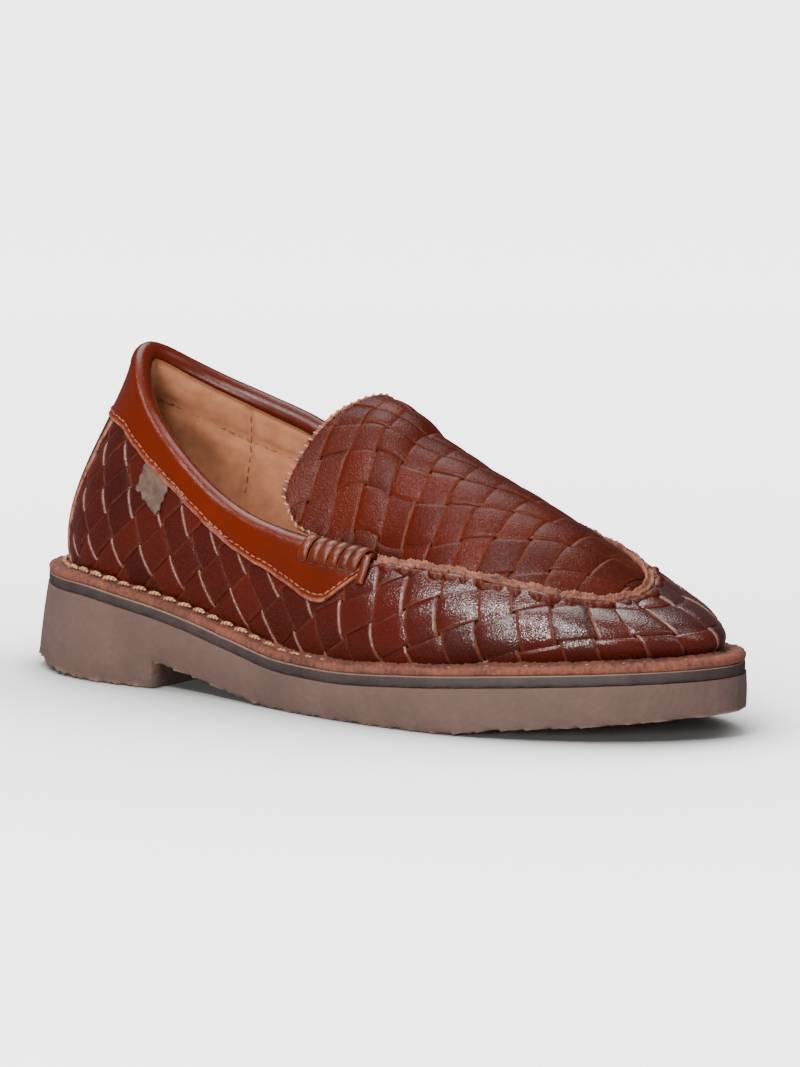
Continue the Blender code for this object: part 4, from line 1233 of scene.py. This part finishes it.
# %% Woven plug
ACROSS_PITCH = 11.0
ACROSS_START = 4.0
SLANT_PITCH = 10.6
SLANT_START = 12.0
SLANT_ANGLE = math.radians(32.0)
SLANT_DRIFT = ((-20.0, -12.5), (70.0, 43.7), (90.0, 53.5), (105.0, 57.5), (160.0, 65.0))
PLUG_STYLE = {"wide": 0.955, "lift": 0.28, "wave": 0.38, "thick": 1.1, "rim": (0.2, 0.7)}
slant_drift = steady_curve(SLANT_DRIFT)
level_at = np.linspace(0, TONGUE_FROM, 60)
level_x = plug_point(level_at, np.zeros(60))[:, 0]
level_at = np.append(level_at, level_at[-1] + 60.0)
level_x = np.append(level_x, level_x[-1] - 50.0)


def plug_level(level, aside):
    """Distance back where the plug crosses an upright plane, for a weave level and a distance aside."""
    x = np.interp(level, level_at, level_x)
    low = np.full(len(x), 0.3)
    high = np.full(len(x), PLUG_LONG)
    past_tip = np.maximum(x - plug_point(low, aside)[:, 0], 0)
    past_edge = np.maximum(plug_point(high, aside)[:, 0] - x, 0)
    for _ in range(22):
        half_way = 0.5 * (low + high)
        ahead = plug_point(half_way, aside)[:, 0] > x
        low = np.where(ahead, half_way, low)
        high = np.where(ahead, high, half_way)
    return low - past_tip + past_edge


def plug_weave_place(level, aside):
    return plug_place(plug_level(level, aside), aside)


def plug_crossing(a, b):
    """Level back along the plug and distance aside where two strips cross."""
    level = ACROSS_START + ACROSS_PITCH * b
    return level, SLANT_START + SLANT_PITCH * a / math.cos(SLANT_ANGLE) - slant_drift(level)


plug_rng = np.random.default_rng(9)
plug = new_batch()
for index in range(-4, 14):
    for leaning in (True, False):
        add_strip(plug, index, leaning, plug_crossing, plug_weave_place, (-4.0, 14.0), PLUG_STYLE, plug_rng)
make_piece("woven_plug", plug, plug_skin, ("plug",))

# %% [markdown]
# Under the plug lies a suede backing, and under that the tan leather that shows inside the tongue.
# Both are the plug's own surface moved inward, so they follow each bend of it without a fitting modifier.

# %% Plug backing and tongue lining
back_grid, share_grid = np.meshgrid(
    np.linspace(0.5, PLUG_LONG - 0.4, 110), np.linspace(-0.495, 0.495, 44), indexing="ij")
ply_aside = share_grid.ravel() * plug_width(back_grid.ravel())
ply_face, ply_out, _ = plug_place(back_grid.ravel(), ply_aside)
plies = [(ply_face + ply_out * lift).reshape(*back_grid.shape, 3) for lift in (-0.3, -0.9, -1.7)]
for k, (name, skin) in enumerate((("plug_backing", suede_skin), ("tongue_lining", lining_skin))):
    ply = new_batch()
    add_patch(ply, two_faced(plies[k], plies[k + 1]), ring=True, caps=True)
    make_piece(name, ply, skin)

# %% [markdown]
# The tongue's free edge is worn raw and pale, bound over and sewn with small stitches.
# A bevel on the plug would give a clean edge. A separate bound rim with a ripple looks handled,
# and the stitches that go over it can follow its own line.

# %% Tongue edge and its sewing
RIM_ROOT = 6.0
RIM_IN = 3.0
RIM_SECTION = (
    # distance in from the edge, lift off the plug
    (-0.3, -1.3), (-0.5, -0.3), (-0.4, 0.6), (0.0, 1.2), (0.6, 1.4),
    (1.2, 1.3), (1.5, 0.9), (1.4, 0.2), (0.8, -0.6), (0.2, -1.7),
)
side_back = np.linspace(TONGUE_FROM - RIM_ROOT, PLUG_LONG, 110)
rear_share = np.linspace(-0.5, 0.5, 120)[1:-1]
rim_back = np.concatenate([side_back, np.full(len(rear_share), PLUG_LONG), side_back[::-1]])
rim_share = np.concatenate([np.full(110, -0.5), rear_share, np.full(110, 0.5)])
rim_line, rim_out, _ = plug_place(rim_back, rim_share * plug_width(rim_back))
in_back = np.clip(rim_back, 0, PLUG_LONG - RIM_IN)
in_share = np.clip(rim_share, -0.5 + RIM_IN / 70, 0.5 - RIM_IN / 70)
rim_inward = unit(plug_place(in_back, in_share * plug_width(in_back))[0] - rim_line)
rough = ripple(walked(rim_line), 61, ((2.1, 0.16), (3.7, 0.2), (6.9, 0.22)))
rim_rows = []
for inset, lift in RIM_SECTION:
    moved_in = rim_inward * (inset + 0.3 * rough)[:, None]
    rim_rows.append(rim_line + moved_in + rim_out * (lift + 0.4 * rough)[:, None])
binding = new_batch()
add_tube(binding, rim_rows)
make_piece("tongue_edge", binding, raw_skin)

at, centres, along = stitch_places(rim_line + rim_inward * 0.7 + rim_out * 1.35, 2.6)
edge_thread = new_batch()
add_stitches(edge_thread, centres, sample(rim_inward, at), sample(rim_out, at),
             length=1.8, thick=0.7, arch=0.2, seed=62)
make_piece("tongue_sewing", edge_thread, waxed_thread)

# %% [markdown]
# Where wall and plug meet, their cut edges stand up together and are sewn through.
# The seam is therefore two raw lips with a furrow between them, uneven in height all the way round.
# One rope-like tube would be simpler, but the furrow is what the eye reads as two layers of leather.

# %% Standing seam
SEAM_SECTION = (
    # from -1 at the wall over 0 at the joint to 1 at the plug, share of the lip's height, height added
    (-1.0, 0.0, -1.2), (-1.05, 0.5, 0.0), (-1.0, 0.95, 0.0), (-0.75, 1.0, 0.1), (-0.45, 0.9, 0.0),
    (-0.2, 0.1, 0.0), (0.1, 0.1, 0.0), (0.3, 0.9, 0.0), (0.6, 1.0, 0.1), (0.9, 0.9, 0.0),
    (1.0, 0.4, 0.0), (1.0, 0.0, -1.2), (0.0, 0.0, -1.6),
)
seam_u = np.linspace(PLACE["throat outer"] + 1.0, PLACE["throat inner"] - 1.0, 620)
seam_walk = walked(inset_top(seam_u, 0.0))
taper = np.clip(0.4 + np.minimum(seam_walk, seam_walk[-1] - seam_walk) / 14, 0, 1)
wall_lip = taper * (1.3 + ripple(seam_walk, 71, ((1.1, 0.16), (2.4, 0.17), (5.1, 0.2), (11.3, 0.25))))
plug_lip = taper * (1.9 + ripple(seam_walk, 72, ((1.2, 0.16), (2.9, 0.17), (6.3, 0.22), (14.0, 0.28))))
joint_inset = 0.5 * PLUG_INSET + 0.5 * ripple(seam_walk, 73, ((6.0, 0.14), (15.0, 0.22)))
joint = inset_top(seam_u, joint_inset) + 0.7 * UP
on_wall = inset_top(seam_u, joint_inset - 1.5) + 0.6 * UP
on_plug = inset_top(seam_u, joint_inset + 1.35) + 0.9 * UP


def seam_row(toward, share, added=0.0):
    """Line along the seam, toward the wall or the plug, at a share of that lip's height."""
    side, lip = (on_wall, wall_lip) if toward < 0 else (on_plug, plug_lip)
    return joint + (side - joint) * abs(toward) + UP * (share * lip + added)[:, None]


seam = new_batch()
add_tube(seam, [seam_row(*row) for row in SEAM_SECTION])
make_piece("standing_seam", seam, raw_skin, ("plug_seam",))

# %% [markdown]
# Below the seam the ends of the wall's strips are gathered and creased where the thread pulls them in.
# Pulling the woven strips together would tangle them, so a narrow creased band lies over their ends.
# The seam's thread then shows as short dark stitches on the wall side.

# %% Gathered edge and seam thread
GATHER_SECTION = (
    # lift off the wall, distance down from its top edge, share of the creases, rawness
    (0.4, 0.2, 0.0, 0.3), (1.5, 0.5, 0.5, 0.35), (1.7, 1.1, 0.9, 0.1), (1.5, 1.9, 1.0, 0.0),
    (1.0, 2.6, 0.7, 0.0), (0.2, 3.2, 0.0, 0.1), (-0.4, 1.6, 0.0, 0.0),
)
gather = ripple(seam_walk, 75, ((3.1, 0.16), (5.7, 0.28), (9.1, 0.26), (17.0, 0.3)))
sideways = np.roll(gather, 3)
gather_rows = []
for lift, down, share, raw in GATHER_SECTION:
    creased = lift + 1.1 * share * gather * taper
    gather_rows.append(beside_wall(seam_u, creased, down + 0.9 * share * sideways))
gathered = new_batch()
# Painted shade: the dive shade mark darkens the low, sunken parts of the creases.
add_tube(gathered, gather_rows, tint=0.45, dip=np.clip(0.5 - 0.6 * gather, 0, 1)[:, None],
         rim=np.array([row[3] for row in GATHER_SECTION])[None])
make_piece("gathered_edge", gathered, plug_skin)

at, centres, along = stitch_places(seam_row(-1.0, 0.6), 6.4)
to_wall = sample(on_wall - on_plug, at)
seam_thread = new_batch()
add_stitches(seam_thread, centres, to_wall + 0.6 * along - UP, UP + 0.8 * unit(to_wall),
             length=2.2, thick=0.6, arch=0.1, seed=74)
make_piece("seam_sewing", seam_thread, dark_thread)

# %% [markdown]
# At each side of the throat a flat lace is wound round the folded collar a few times.
# A bevelled helix would cut through the fold, which isn't round. Each turn follows the fold's own section
# instead, slants forward as it goes over, and vanishes into a slit; the last end is tucked down in front.

# %% One turn of lace
LACE_FOLD = (
    # lift off the wall, distance down from its top edge, from the outside over the fold to the inside
    (2.2, 4.2), (3.1, 2.9), (3.5, 1.0), (3.3, -1.0), (2.2, -3.1), (0.0, -4.3),
    (-2.2, -4.1), (-4.1, -2.8), (-5.2, -0.8), (-5.3, 1.0), (-4.5, 2.2),
)
LACE_HALF = 0.54
LACE_THICK = 0.8
fold_share = np.linspace(0, 1, len(LACE_FOLD))
fold_lift, fold_down = (steady_curve(list(zip(fold_share, column))) for column in zip(*LACE_FOLD))


def lace_line(u, lift, down):
    """Middle line of a lace beside the wall and the direction across it."""
    spine = beside_wall(u, lift, down)
    return spine, unit(beside_wall(u + 1.0, lift, down) - spine)


def add_lace(batch, spine, aside, rise, half, thick, tint, raw):
    """Flattened tube along a line, with raw edges."""
    turn = np.linspace(0, 2 * math.pi, 12, endpoint=False)
    level = np.cos(turn)[None, :, None] * aside[:, None] * half
    upright = np.sin(turn)[None, :, None] * rise[:, None] * thick
    add_patch(batch, spine[:, None] + level + upright, ring=True, caps=True, tint=tint, dip=0.0,
              rim=raw * np.abs(np.cos(turn))[None] ** 6)


def add_turn(batch, start, pitch, rng):
    """One turn over the fold, with its face away from the fold's middle."""
    way = np.linspace(0, 1, 40)
    u = start + 0.55 * (0.5 - way) * pitch + rng.uniform(-0.3, 0.3)
    spine, aside = lace_line(u, fold_lift(way), fold_down(way))
    rise = unit(np.cross(np.gradient(spine, axis=0), aside))
    inward = (rise * (spine - spine.mean(axis=0))).sum(axis=1) < 0
    rise *= np.where(inward, -1, 1)[:, None]
    half = LACE_HALF * abs(pitch) * rng.uniform(0.95, 1.05)
    thick = LACE_THICK * rng.uniform(0.9, 1.1)
    add_lace(batch, spine, aside, rise, half, thick, tint=rng.uniform(0.2, 0.9), raw=0.55)


print("the lace climbs %.1f mm over the fold" % np.ptp(fold_down(fold_share)))

# %% [markdown]
# Both sides of the throat get the same number of turns, then the tucked end and, below each turn, a dark lump
# of suede that paints the shade inside its slit.
# One turn repeated along the collar is enough, because each follows the collar where it stands.

# %% Lace wraps
LACE_TURNS = 6
LACE_RUN = 0.8
LACE_SIDES = (
    # piece, solid that it stands for, way round of its front end and of the end of the wrapped stretch
    ("outer_lace", "lace_wrap_lateral", PLACE["throat outer"] - 1.0, PLACE["collar outer"]),
    ("inner_lace", "lace_wrap_medial", PLACE["throat inner"] + 1.0, PLACE["collar inner"]),
)
SLIT_LIFT = 2.2
SLIT_DOWN = 4.7
for name, node, first, last in LACE_SIDES:
    pitch = LACE_RUN * (last - first) / LACE_TURNS
    lace_rng = np.random.default_rng(81)
    lace = new_batch()
    for k in range(LACE_TURNS):
        add_turn(lace, first + (k + 0.5) * pitch, pitch, lace_rng)
    tail = np.linspace(0, 1, 24)
    tail_u = first - 0.2 * pitch - 0.4 * pitch * tail
    spine, aside = lace_line(tail_u, 2.9 - 1.0 * tail, -1.0 + 9.0 * tail)
    tail_rise = wall_normal(tail_u, 0.85)
    add_lace(lace, spine, aside, tail_rise, half=1.5, thick=LACE_THICK, tint=0.7, raw=0.5)
    make_piece(name, lace, lace_skin, (node,))
    # Painted shade: a flat dark lump stands for the shadowed opening of each slit, since no hole is cut.
    slit_u = first + (np.arange(LACE_TURNS) + 0.75) * pitch
    slit_at = beside_wall(slit_u, SLIT_LIFT, SLIT_DOWN)
    slit_along = beside_wall(slit_u + 0.5, SLIT_LIFT, SLIT_DOWN) - slit_at
    slit_shades = new_batch()
    add_stitches(slit_shades, slit_at, slit_along, wall_normal(slit_u, 0.85),
                 length=2.4, thick=1.3, arch=0.0, seed=82)
    make_piece(name + "_slit_shade", slit_shades, suede_skin)

# %% [markdown]
# A strip of leather covers the joint at the back of the heel. A thick plane could be shrunk onto the wall.
# Here the strip is two faces of the wall itself, moved out by different amounts and rounded at the sides.

# %% Heel strip
HEEL_STRIP_HALF = 11.0
heel_tall = float(girth(0.0))
strip_top = 1 - (float(collar_depth(0.0)) - 1.0) / heel_tall
cut_share = np.linspace(0.94, 1, 3)
strip_across = np.concatenate([-cut_share[::-1], np.linspace(-0.88, 0.88, 15), cut_share])


def strip_face(lift, rounding):
    """Face of the heel strip at a lift off the wall, rounded down toward its cut sides."""
    lifts = lift - rounding * np.abs(strip_across) ** 10
    grid = []
    for v in np.linspace(-0.02, strip_top, 50):
        sway = 0.15 * ripple(np.array([v * heel_tall]), 91, ((5.0, 1.0), (11.0, 1.0)))[0]
        u = strip_across * HEEL_STRIP_HALF + sway
        grid.append(wall_point(u, v) + wall_normal(u, max(v, 0)) * lifts[:, None])
    return np.array(grid)


cut_side = np.where(np.abs(strip_across) > 0.9, 1.0, 0.0)
strip = new_batch()
add_patch(strip, two_faced(strip_face(2.0, 0.3), strip_face(0.7, 0.0)), ring=True, caps=True,
          rim=np.concatenate([cut_side, cut_side[::-1]])[None], tint=0.35, dip=0.0)
make_piece("heel_strip", strip, strip_skin, ("back_strip",))

# %% [markdown]
# A small blank tab of woven cloth is caught under the outer side of the collar.
# It hangs almost flat, so a thin sheet with a frayed lower edge and a slight wave is enough.

# %% Side tab
TAB_WIDE = 13.5
TAB_TALL = 10.2
TAB_AT = 0.088 * ROUND
tab_from = float(collar_depth(TAB_AT)) - 0.6
tab_share = np.linspace(-0.5, 0.5, 16)


def tab_face(lift):
    """Face of the tab at a lift off the wall, narrower and frayed toward its lower edge."""
    grid = []
    for down in np.linspace(0, TAB_TALL, 16):
        sway = 0.3 * ripple(np.full(16, down), 95, ((3.0, 1.0),))
        u = TAB_AT + tab_share * TAB_WIDE * (1 - 0.02 * down) + sway
        frayed = down + (down / TAB_TALL) ** 4 * ripple(tab_share * TAB_WIDE, 96, ((1.9, 0.4), (4.0, 0.7)))
        grid.append(beside_wall(u, lift + 0.12 * np.sin(4 * tab_share + 0.4 * down), tab_from + frayed))
    return np.array(grid)


tab = new_batch()
add_patch(tab, two_faced(tab_face(2.2), tab_face(1.3)), ring=True, caps=True)
cloth = make_piece("blank_side_tab", tab, tab_skin, ("side_tab",))

# %% [markdown]
# The shoe stands on a plain pale floor that runs out of sight. Lighting a real floor this bright would also
# bleach the leather, so the floor glows by itself, dimmed by ambient occlusion where the shoe shades it.
# It is kept out of reflections, since a bright floor would shine on every strip.

# %% Floor
def floor_material():
    made, tree, shader = start_material("pale paper floor", Roughness=0.9, Emission_Strength=1.0)
    where = object_place(tree)
    paper = noise(tree, where, 40.0, 3.0)["Fac"]
    tree.links.new(mix(tree, paper, rgb(0.2, 0.2, 0.2), rgb(0.21, 0.21, 0.21)), shader["Base Color"])
    # Painted shadow: the glow is weaker near the shoe, and ambient occlusion darkens it under and beside the
    # shoe.
    far = add_node(tree, "ShaderNodeVectorMath", {0: where}, operation="LENGTH").outputs["Value"]
    glow = mix(tree, spread(tree, far, 0.1, 1.1), rgb(2.75, 2.75, 2.75), rgb(3.8, 3.8, 3.8))
    shade = add_node(tree, "ShaderNodeAmbientOcclusion", {"Color": glow, "Distance": 0.2}, samples=8)
    open_share = maths(tree, "POWER", shade.outputs["AO"], 3.5)
    tree.links.new(mix(tree, open_share, rgb(0.0, 0.0, 0.0), glow), shader["Emission Color"])
    return made


floor_mesh = bpy.data.meshes.new("pale_floor")
floor_mesh.from_pydata([(-9, -9, 0), (9, -9, 0), (9, 9, 0), (-9, 9, 0)], [], [(0, 1, 2, 3)])
floor_mesh.materials.append(floor_material())
floor = bpy.data.objects.new("pale_floor", floor_mesh)
bpy.context.scene.collection.objects.link(floor)
floor.visible_glossy = False
print("floor:", floor.dimensions.x, "m wide")

# %% [markdown]
# Light comes from broad softboxes, above and to the left of the camera, with a faint even sky all round.
# A low one grazes the wall, so that each strip of the weave gets its own small highlight.
# Their places are written as steps to the camera's right, toward it and up, so they turn with the camera.

# %% Light
AZIMUTH = math.radians(36.0)
ELEVATION = math.radians(10.0)
LIGHTS = (
    # name, steps right, toward the camera and up in metres, size, power, colour
    ("key softbox", (-0.4, 0.95, 1.15), 0.35, 30.0, (1.0, 0.98, 0.95)),
    ("low softbox", (-0.4, 1.0, 0.24), 0.25, 12.0, (1.0, 0.98, 0.95)),
    ("overhead softbox", (-0.2, -0.7, 1.7), 1.4, 40.0, (1.0, 0.99, 0.97)),
    ("left softbox", (-0.9, 0.5, 1.3), 0.3, 13.0, (1.0, 0.99, 0.97)),
    ("right fill", (1.0, 0.5, 1.3), 0.8, 7.0, (1.0, 0.99, 0.97)),
)
LIT_SPOT = (0.0, 0.0, 0.05)
right = np.array((math.cos(AZIMUTH), math.sin(AZIMUTH), 0.0))
front = np.array((math.sin(AZIMUTH), -math.cos(AZIMUTH), 0.0))


def aim(thing, at, target):
    """Places an object and turns its -Z axis toward a target."""
    axis_z = unit(np.asarray(at, float) - np.asarray(target, float))
    axis_x = unit(np.cross(UP, axis_z))
    axis_y = np.cross(axis_z, axis_x)
    thing.matrix_world = [(*axis_x, 0), (*axis_y, 0), (*axis_z, 0), (*at, 1)]


for name, (to_right, to_front, to_up), size, power, colour in LIGHTS:
    light = bpy.data.lights.new(name, "AREA")
    light.shape = "DISK"
    light.size = size
    light.energy = power
    light.color = colour
    lamp = bpy.data.objects.new(name, light)
    bpy.context.scene.collection.objects.link(lamp)
    aim(lamp, to_right * right + to_front * front + to_up * UP, LIT_SPOT)

world = bpy.data.worlds.new("soft studio")
world.use_nodes = True
sky = world.node_tree.nodes["Background"].inputs
sky["Color"].default_value = rgb(0.95, 0.97, 1.0)
sky["Strength"].default_value = 0.18
bpy.context.scene.world = world
print("lights:", len(LIGHTS))

# %% [markdown]
# The camera keeps the photo's angle to the shoe: a little in front of the outer side and slightly above it.
# A long lens from two metres away keeps the photo's flat perspective, where a short lens up close
# would swell the toe. It aims a little above the floor, which sets the shoe in the picture as in the photo.

# %% Camera
DISTANCE = 2.15
LENS = 229.7
AIM_RIGHT = 0.00635
AIM_UP = 0.0516
to_camera = front * math.cos(ELEVATION) + UP * math.sin(ELEVATION)
above = np.cross(to_camera, right)
lens = bpy.data.cameras.new("photo camera")
lens.sensor_fit = "VERTICAL"
lens.sensor_height = 36.0
lens.lens = LENS
lens.clip_end = 100.0
camera = bpy.data.objects.new("photo camera", lens)
bpy.context.scene.collection.objects.link(camera)
aim(camera, to_camera * DISTANCE, right * AIM_RIGHT + above * AIM_UP)
bpy.context.scene.camera = camera
print("camera at", [round(float(c), 3) for c in to_camera * DISTANCE])

# %% Update the scene
bpy.context.view_layer.update()
